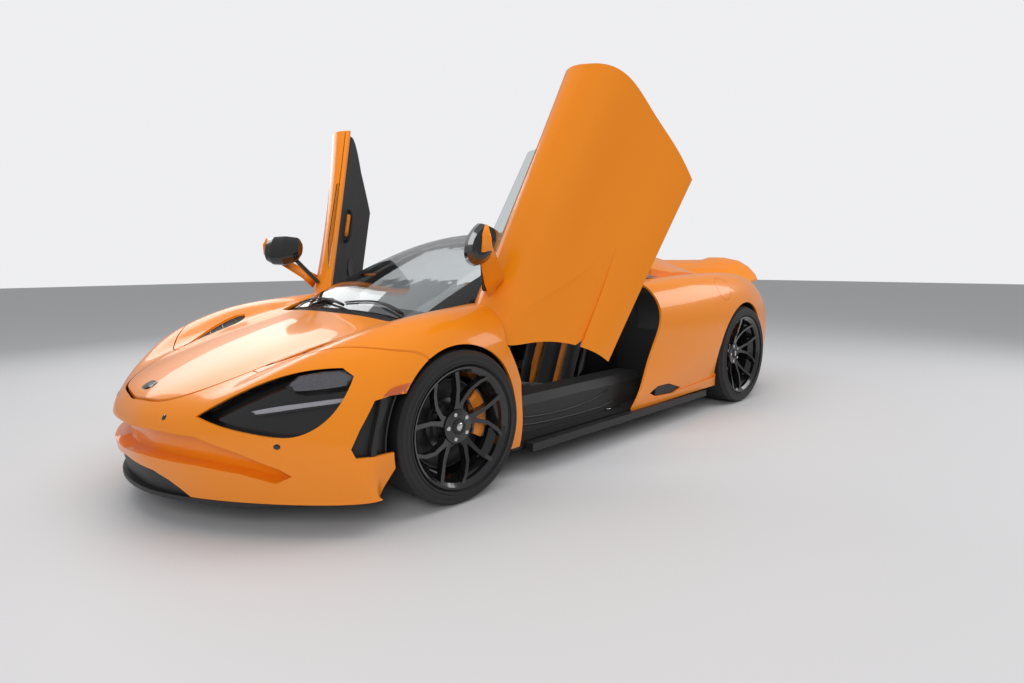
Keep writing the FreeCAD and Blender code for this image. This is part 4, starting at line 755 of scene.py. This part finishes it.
# %% Swing a piece with the door
hinge_place = Vector((0.909, 0.751, 0.718))
hinge_way = Vector((0.257, 0.864, -0.433)).normalized()
open_turn = Matrix.Rotation(math.radians(73.2), 4, hinge_way)
door_swing = Matrix.Translation(hinge_place) @ open_turn @ Matrix.Translation(-hinge_place)
back = door_swing.inverted()
shut_lining = shape_tree(nodes["door_trim_left"].data, back)


def door_pair(obj, finish):
    obj.data.transform(door_swing)
    obj.data.update()
    both_sides(obj, "door_left_body", finish)

# %% [markdown]
# ## Mirror blade and mirror glass
# Each mirror stands on a flat painted blade that sweeps out from the door and up over the housing. A bar bent along a
# curve would have one width, but the blade narrows as it climbs, so it is lofted through six sections between its two
# edges. The glass is a shallow oval dish that closes the housing.

# %% Mirror blade and mirror glass
# Each row is the blade's two edges and its thickness, from the foot up.
blade = (((0.794, 0.838, 0.800), (0.692, 0.839, 0.772), 0.010), ((0.750, 0.888, 0.851), (0.669, 0.895, 0.803), 0.013),
         ((0.694, 0.991, 0.908), (0.628, 0.998, 0.863), 0.014), ((0.633, 1.107, 0.954), (0.602, 1.114, 0.919), 0.012),
         ((0.573, 1.112, 0.978), (0.569, 1.120, 0.940), 0.010), ((0.531, 1.100, 0.982), (0.531, 1.103, 0.968), 0.006))
blade_depth, blade_sides = back.to_3x3() @ forward, 16
rings = []
for a, b, thick in blade:
    middle, half = (Vector(a) + Vector(b)) / 2, (Vector(a) - Vector(b)) / 2
    rings.append([middle + half * math.cos(t) + blade_depth * thick * math.sin(t) for t in turns(blade_sides)])
door_pair(lofted("mirror_arm_left", rings), paint)
glass_y, glass_z, glass_wide, glass_high, glass_sides = 0.985, 0.952, 0.088, 0.046, 28
glass_rings = ((0.5345, 0.96), (0.5295, 0.99), (0.5275, 0.90))
rings = []
for x, size in glass_rings:
    wide, high = glass_wide * size, glass_high * size
    rings.append([(x, glass_y + wide * math.cos(t), glass_z + high * math.sin(t)) for t in turns(glass_sides)])
door_pair(lofted("mirror_glass_left", rings), mirror_glass)

# %% [markdown]
# ## Fittings on the lining
# The lining carries a pull handle with an orange insert, and a round speaker below it. Rays find the lining under
# each point of the handle, so it meets the lining at both ends. The speaker leans with the lining.

# %% Fittings on the door's lining
def trim_spot(x, z, lift=0.0):
    return shut_lining.ray_cast(Vector((x, 0, z)), Vector((0, 1, 0)))[0] - Vector((0, lift, 0))


pull_z, pull_radius, insert_lift, insert_radius, pull_sides = 0.640, 0.012, 0.004, 0.020, 12
insert_places = (0.20, 0.24, 0.28, 0.32, 0.36)
pull_lifts = ((0.16, 0.004), (0.18, 0.022), (0.22, 0.034), (0.34, 0.034), (0.38, 0.022), (0.40, 0.004))
pull = [trim_spot(x, pull_z, lift) for x, lift in pull_lifts]
door_pair(tube("pull_handle_left", pull, pull_radius, pull_sides), lining)
insert = [trim_spot(x, pull_z, insert_lift) for x in insert_places]
door_pair(tube("pull_insert_left", insert, insert_radius, pull_sides), seat_orange)
speaker_x, speaker_z, speaker_radius, speaker_sides = 0.50, 0.44, 0.068, 48
speaker_place = trim_spot(speaker_x, speaker_z)
speaker_top = trim_spot(speaker_x, speaker_z + speaker_radius)
speaker_steps = ((-speaker_radius, -0.005), (-0.020, -0.003), (-0.006, -0.006), (0.0, -0.003), (0.0, 0.008),
                 (-speaker_radius, 0.008))
speaker = [(speaker_radius + inwards, speaker_place.y + deep) for inwards, deep in speaker_steps]
speaker_ring = turned("speaker_ring_left", speaker, speaker_x, speaker_z, speaker_sides)
lean = Matrix.Rotation(math.atan2(speaker_place.y - speaker_top.y, speaker_radius), 4, "X")
speaker_ring.data.transform(Matrix.Translation(speaker_place) @ lean @ Matrix.Translation(-speaker_place))
door_pair(speaker_ring, satin_black)

# %% [markdown]
# ## Seats
# Each seat is a hard shell with pads on it: a sunk centre, an orange roll on each side of it and a firm bolster
# outside that, on the back and on the cushion alike. Pads could be sculpted or carved from boxes, but stuffed leather
# has an even fullness that comes from pressure. So a pad starts as a slim rounded bar, a short cloth simulation with
# air pressure inside it puffs the bar up, and a cap keeps it from swelling into its neighbour.

# %% [markdown]
# ## A rounded bar
# The bar's section is a squircle, between a circle and a square. A bevelled box would show its flat sides and edges
# through the cloth, and a round tube would be too thin at the corners.

# %% A rounded bar along a line
def squircle(sides, power=3.4):
    ring = []
    for turn in turns(sides):
        c, s = math.cos(turn), math.sin(turn)
        ring.append((math.copysign(abs(c) ** (2 / power), c), math.copysign(abs(s) ** (2 / power), s)))
    return ring


# A bar's end is closed by three rings, each further out and smaller.
end_rings = ((0.007, 0.93), (0.012, 0.78), (0.015, 0.5))


def bar_of(name, line, sides=28):
    rings, ends = [], []
    places = [Vector(row[:3]) for row in line]
    for i, (x, y, z, half, deep) in enumerate(line):
        way = places[min(i + 1, len(line) - 1)] - places[max(i - 1, 0)]
        normal = Vector((way.z, 0, -way.x)).normalized()
        rings.append([places[i] + Vector((0, half * a, 0)) + normal * (deep * b) for a, b in squircle(sides)])
    for end, inner in ((0, 1), (-1, -2)):
        way, middle = (places[end] - places[inner]).normalized(), places[end]
        ends.append([[middle + way * out + (p - middle) * shrink for p in rings[end]] for out, shrink in end_rings])
    return lofted(name, ends[0][::-1] + rings + ends[1])


# %% Puff a pad up with a cloth simulation
air_pressure, cloth_steps, pad_grain, pad_growth = 4, 20, 0.0075, 0.006


def puffed(obj):
    name = obj.name
    remesh = obj.modifiers.new("even", "REMESH")
    remesh.mode, remesh.voxel_size = "VOXEL", pad_grain
    pad = baked(obj, name)
    outward(pad.data)
    start = [v.co.copy() for v in pad.data.vertices]
    cloth = pad.modifiers.new("air", "CLOTH")
    cloth.settings.use_pressure = True
    cloth.settings.uniform_pressure_force = air_pressure
    cloth.settings.effector_weights.gravity = 0
    cloth.settings.quality = 4
    cloth.point_cache.frame_start, cloth.point_cache.frame_end = 1, cloth_steps
    for number in range(cloth_steps):
        scene.frame_set(number + 1)
    swollen = pad.evaluated_get(bpy.context.evaluated_depsgraph_get())
    moved = [v.co.copy() for v in swollen.data.vertices]
    pad.modifiers.remove(cloth)
    scene.frame_set(1)
    for vertex, a, b in zip(pad.data.vertices, start, moved):
        vertex.co = a + (b - a) * min(1, pad_growth / max((b - a).length, 1e-6))
    smooth = pad.modifiers.new("round", "SUBSURF")
    smooth.levels = smooth.render_levels = 1
    return baked(pad, name)


# %% Where the pads lie
seat_middle = 0.345
back_line = Vector((0.150, 0, 0.225)), Vector((-0.066, 0, 0.775))
cushion_line = Vector((0.175, 0, 0.3026)), Vector((0.492, 0, 0.3586))
back_way, cushion_way = ((end - start).normalized() for start, end in (back_line, cushion_line))
back_front, cushion_up = Vector((back_way.z, 0, -back_way.x)), Vector((-cushion_way.z, 0, cushion_way.x))


# A row is a share of the line, a place beside it, how deep the pad is sunk, and its half width and half depth.
def along(line, normal, rows):
    spots = []
    for share, beside, sunk_by, half, deep in rows:
        place = line[0].lerp(line[1], share) - normal * (sunk_by + deep)
        spots.append((place.x, seat_middle + beside, place.z, half, deep))
    return spots


pads = {
    "back_centre": (along(back_line, back_front, (
        (0.06, 0, 0.036, 0.070, 0.028), (0.25, 0, 0.036, 0.078, 0.028), (0.5, 0, 0.036, 0.080, 0.028),
        (0.75, 0, 0.036, 0.078, 0.028), (0.97, 0, 0.036, 0.070, 0.028))), seat_black, False),
    "back_band": (along(back_line, back_front, (
        (0.10, 0.092, 0.026, 0.014, 0.027), (0.3, 0.102, 0.018, 0.018, 0.027), (0.6, 0.102, 0.018, 0.019, 0.027),
        (0.85, 0.098, 0.020, 0.019, 0.027), (0.98, 0.092, 0.024, 0.015, 0.027))), seat_orange, True),
    "back_bolster": (along(back_line, back_front, (
        (0.04, 0.152, 0.030, 0.026, 0.034), (0.2, 0.160, 0.012, 0.030, 0.042), (0.45, 0.162, 0.004, 0.030, 0.046),
        (0.7, 0.160, 0.008, 0.030, 0.044), (0.95, 0.148, 0.026, 0.026, 0.034))), seat_black, True),
    "head_pad": ([(-0.118, seat_middle, 0.790, 0.084, 0.026), (-0.136, seat_middle, 0.835, 0.094, 0.030),
                  (-0.155, seat_middle, 0.876, 0.074, 0.022)], seat_black, False),
    "cushion_centre": (along(cushion_line, cushion_up, (
        (0.02, 0, 0.026, 0.082, 0.026), (0.35, 0, 0.026, 0.090, 0.026), (0.7, 0, 0.026, 0.092, 0.026),
        (0.95, 0, 0.026, 0.088, 0.026))), seat_black, False),
    "cushion_band": (along(cushion_line, cushion_up, (
        (0.05, 0.106, 0.018, 0.017, 0.026), (0.4, 0.115, 0.012, 0.017, 0.026), (0.7, 0.117, 0.012, 0.017, 0.026),
        (0.95, 0.113, 0.016, 0.017, 0.026))), seat_orange, True),
    "cushion_bolster": (along(cushion_line, cushion_up, (
        (0.02, 0.162, 0.016, 0.026, 0.034), (0.35, 0.166, 0.002, 0.027, 0.040), (0.7, 0.167, 0.002, 0.027, 0.040),
        (0.97, 0.160, 0.018, 0.025, 0.032))), seat_black, True)}
# The roll at the cushion's front lies across the seat. Its rows are a share of its size and a place beside the middle.
front_rows = ((0.55, -0.134), (0.9, -0.124), (1, -0.10), (1, -0.05), (1, 0), (1, 0.05), (1, 0.10), (0.9, 0.124),
              (0.55, 0.134))
front_x, front_z, front_drop, front_deep, front_high = 0.516, 0.322, 0.2, 0.027, 0.022
front_sides, front_power = 24, 2.6


def front_roll(name):
    rings = []
    for share, beside in front_rows:
        z = front_z - front_drop * beside * beside
        rings.append([(front_x + front_deep * a * share, seat_middle + beside, z + front_high * b * share)
                      for a, b in squircle(front_sides, front_power)])
    return lofted(name, rings)


# %% Make one seat, then the other
def place_seat(pad, part, finish, mirrored):
    made = [finish_piece(pad, "chassis", finish)]
    pad.name = "seat_{}_left".format(part) + ("_outer" if mirrored else "")
    if mirrored:
        twin = pad.data.copy()
        middle = Matrix.Translation((0, seat_middle, 0))
        twin.transform(middle @ Matrix.Scale(-1, 4, (0, 1, 0)) @ middle.inverted())
        twin.flip_normals()
        twin = new_object("seat_{}_left_inner".format(part), twin)
        made.append(finish_piece(twin, "chassis", finish))
    return made + [opposite(obj, obj.name.replace("_left", "_right"), "chassis", finish) for obj in made]


seat_pieces = []
for part, (line, finish, mirrored) in pads.items():
    seat_pieces += place_seat(puffed(bar_of("seat_" + part, line)), part, finish, mirrored)
seat_pieces += place_seat(puffed(front_roll("seat_tip")), "front_roll", seat_orange, False)
for piece in seat_pieces:
    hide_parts("seats")
print("pads", len(seat_pieces), "triangles", sum(len(p.data.polygons) * 2 for p in seat_pieces))

# %% Hard shells under the pads
shell_line = ((-0.040, 0.185, 0.186, 0.040), (-0.062, 0.300, 0.190, 0.044), (-0.105, 0.450, 0.192, 0.048),
              (-0.142, 0.600, 0.190, 0.046), (-0.172, 0.720, 0.182, 0.040), (-0.190, 0.800, 0.140, 0.030),
              (-0.198, 0.868, 0.092, 0.020))
base_line = ((0.030, 0.196, 0.176, 0.036), (0.20, 0.212, 0.184, 0.050), (0.38, 0.224, 0.184, 0.058),
             (0.49, 0.238, 0.170, 0.050))
for part, line, finish in (("shell", shell_line, gloss_black), ("base", base_line, satin_black)):
    line = [(x, seat_middle, z, half, deep) for x, z, half, deep in line]
    shell = bar_of("seat_{}_left".format(part), line, 32)
    other = both_sides(shell, "chassis", finish)
    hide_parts("seats")
    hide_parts("seats")
print("seat shells", 4)

# %% [markdown]
# ## Seals, strikers and cabin fittings
# Two rubber lips run round the door opening, and a steel striker stands on the sill where the door latches. The
# dashboard has displays and round vents. Rays find the sill and the dashboard, because the lips and the vents have to
# touch a surface that bends. The lips are tubes along the points that the rays found.

# %% Seals and striker
def on_solid(spots, view, hosts, shift):
    shift = Vector(shift)
    found = [first_hit(hosts, *views[view](a, b)) for a, b in spots]
    return [hit[0] + shift for hit in found if hit]


lip_lines = {"inner": ((0.800, 0.262), (0.720, 0.243), (0.634, 0.234), (0.540, 0.229), (0.445, 0.227),
                       (0.320, 0.230), (0.192, 0.239), (0.100, 0.255), (0.020, 0.276)),
             "outer": ((0.800, 0.222), (0.740, 0.209), (0.676, 0.201), (0.560, 0.194), (0.450, 0.190),
                       (0.270, 0.188), (0.096, 0.190), (0.000, 0.200), (-0.070, 0.214))}
lip_lift, lip_radius, striker_radius = 0.002, 0.0055, 0.0045
for which, spots in lip_lines.items():
    path = on_solid(spots, "left", ["tub", "quarter_left"], (0, lip_lift, 0))
    both_sides(tube("seal_{}_left".format(which), path, lip_radius, 8), "chassis", rubber_seal)
striker_foot = on_solid([(0.030, 0.172)], "left", ["tub"], (0, 0, 0))[0]
striker_loop = ((-0.020, -0.004), (-0.020, 0.010), (-0.013, 0.017), (0.013, 0.017), (0.020, 0.010), (0.020, -0.004))
loop = [striker_foot + Vector((x, y, 0)) for x, y in striker_loop]
both_sides(tube("striker_left", loop, striker_radius, 10), "chassis", chrome)
print("seal pieces", 6)

# %% Displays and vents
slab_rings, slab_sides, slab_power = ((-0.020, 1.0), (-0.0015, 1.0), (0.0, 0.985)), 32, 7


def slab(name, middle, way_out, half_wide, half_high):
    way_out = Vector(way_out).normalized()
    across = Vector((0, 1, 0))
    rise = way_out.cross(across).normalized()
    rings = []
    for out, grow in slab_rings:
        place = Vector(middle) + way_out * out
        rings.append([place + across * (half_wide * a * grow) + rise * (half_high * b * grow)
                      for a, b in squircle(slab_sides, slab_power)])
    return lofted(name, rings)


dash_x = first_hit(["dashboard"], Vector((0, 0, 0.640)), Vector((1, 0, 0)))[0].x
screens = (("centre_display", (dash_x + 0.004, 0.0, 0.645), 0.085, 0.050),
           ("driver_display", (dash_x + 0.006, 0.345, 0.668), 0.120, 0.036),
           ("switch_panel", (dash_x + 0.012, 0.0, 0.572), 0.075, 0.018))
for name, middle, half_wide, half_high in screens:
    screen = slab(name, middle, (-1, 0, 0.32), half_wide, half_high)
    finish_piece(screen, "chassis", screen_glass, smooth=False)
vent_z = 0.655
vent_rings = ((0.010, 0.036), (-0.006, 0.036), (-0.009, 0.032), (-0.004, 0.027), (0.008, 0.026))
for number, y in enumerate((-0.62, -0.18, 0.18, 0.62)):
    spot = first_hit(["dashboard"], Vector((0, y, vent_z)), Vector((1, 0, 0)))
    if spot:
        vent = lofted("air_vent_{}".format(number), [circle_x(spot[0].x + x, y, vent_z, r, 32) for x, r in vent_rings])
        finish_piece(vent, "chassis", chrome)
print("cabin pieces", 7)

# %% [markdown]
# ## Wipers and tail
# Two wipers rest at the foot of the windscreen. Each is a blade and an arm, both tubes that follow the glass at their
# own height. A curve object with a bevel could make them too, but its points would have to be fitted to the glass by
# the same rays.

# %% Wipers
glass_out = Vector((0.45, 0, 0.89))
wiper_foot, wiper_bow, wiper_rise = 1.232, 0.030, 0.012
arm_foot, arm_rise, arm_shift, arm_share = 1.250, 0.040, 0.05, 0.5
wiper_sides, wiper_steps = 8, 10
steps = [k / wiper_steps for k in range(wiper_steps + 1)]
for number, (start_y, end_y) in enumerate(((-0.03, -0.58), (0.50, -0.02))):
    run = end_y - start_y
    blade = [(wiper_foot - wiper_bow * math.sin(math.pi * t) - wiper_rise * t, start_y + run * t) for t in steps]
    arm = [(arm_foot - arm_rise * t, start_y + arm_shift + run * arm_share * t) for t in steps[::2]]
    for name, spots, lift, radius in (("blade", blade, 0.006, 0.0045), ("arm", arm, 0.016, 0.0065)):
        path = on_solid(spots, "above", ["windscreen"], glass_out * lift)
        wiper = tube("wiper_{}_{}".format(name, number), path, radius, wiper_sides)
        finish_piece(wiper, "chassis", satin_black)
print("wipers", 4)

# %% [markdown]
# ## Honeycomb and exhaust tips
# A honeycomb mesh fills the tail behind its frame. A bump pattern would look flat from the side, and the mesh has
# hundreds of cells, so a Geometry Nodes grid repeats one six-sided wall of few faces. Two grids, half a cell apart,
# make the honeycomb. It is then moved onto the curved grille, and cells that hang over its edge are dropped. Bright
# tips close the two pipes.

# %% Honeycomb behind the tail frame
def grid_tree():
    tree, source, copies, move, (grid,) = copies_tree(
        "grid of copies", (("Columns", "Int", 20), ("Rows", "Int", 5), ("Width", "Float", 1.0),
                           ("Height", "Float", 0.1)), ("GeometryNodeMeshGrid",))
    set_inputs(move, {"Rotation": (0, math.pi / 2, 0)})
    wire(tree, ((source.outputs["Width"], grid.inputs["Size Y"]), (source.outputs["Height"], grid.inputs["Size X"]),
                (source.outputs["Columns"], grid.inputs["Vertices Y"]),
                (source.outputs["Rows"], grid.inputs["Vertices X"]), (grid.outputs[0], copies.inputs["Points"])))
    return tree


grid_of_copies = grid_tree()


def hexagon(name, radius, wall, deep):
    points = []
    for z in (-deep / 2, deep / 2):
        for r in (radius, radius - wall):
            points += [(x, y, z) for x, _, y in circle_y(0, 0, 0, r, 6)]
    faces = []
    for k in range(6):
        n = (k + 1) % 6
        faces += [(k, n, 12 + n, 12 + k), (6 + n, 6 + k, 18 + k, 18 + n), (12 + k, 12 + n, 18 + n, 18 + k),
                  (n, k, 6 + k, 6 + n)]
    obj = mesh_object(name, points, faces)
    outward(obj.data)
    return obj


print("tree", grid_of_copies.name)

# %% Fit the honeycomb and the pipe tips
grille_low, grille_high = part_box("rear_grille")
cell, cell_share, cell_wall, cell_depth = 0.0125, 0.96, 0.0022, 0.006
across, rise = cell * math.sqrt(3), cell * 3
middle_z = (grille_low.z + grille_high.z) / 2
columns, rows = int((grille_high.y - grille_low.y) / across), int((grille_high.z - grille_low.z) / rise)
mesh_parts = []
for number, (shift_y, shift_z) in enumerate(((0, 0), (across / 2, rise / 2))):
    values = {"Columns": columns, "Rows": rows, "Width": across * (columns - 1), "Height": rise * (rows - 1),
              "Place": (0, shift_y, middle_z + shift_z)}
    part = copied(hexagon("cell_seed", cell * cell_share, cell_wall, cell_depth), "honeycomb_{}".format(number),
                  grid_of_copies, values, "chassis", gloss_black)
    work = bmesh.new()
    work.from_mesh(part.data)
    stack = []
    for vertex in work.verts:
        hit = first_hit(["rear_grille"], *views["behind"](vertex.co.y, vertex.co.z))
        if hit:
            vertex.co.x += hit[0].x
        else:
            stack.append(vertex)
    drop = set()
    while stack:
        here = stack.pop()
        if here not in drop:
            drop.add(here)
            stack += [edge.other_vert(here) for edge in here.link_edges]
    bmesh.ops.delete(work, geom=list(drop), context="VERTS")
    work.to_mesh(part.data)
    work.free()
    part.data.update()
    mesh_parts.append(part)
print("honeycomb", columns, rows, sum(len(p.data.polygons) for p in mesh_parts))
pipe_z = 0.640
tip_rings = ((-2.235, 0.0515), (-2.2755, 0.0535), (-2.2790, 0.0525), (-2.2790, 0.0485), (-2.2755, 0.0470),
             (-2.225, 0.0465), (-2.235, 0.0515))
for side, y in (("left", 0.150), ("right", -0.150)):
    tip = lofted("exhaust_tip_" + side, [circle_x(x, y, pipe_z, r, 64) for x, r in tip_rings], closed_ends=False)
    finish_piece(tip, "chassis", chrome)
print("exhaust tips", 2)

# %% [markdown]
# ## Measure and finish
# The box of everything shown except the floor is printed.

# %% Measure and finish
low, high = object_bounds()
print("visual box", [round(v, 3) for v in low], [round(v, 3) for v in high])
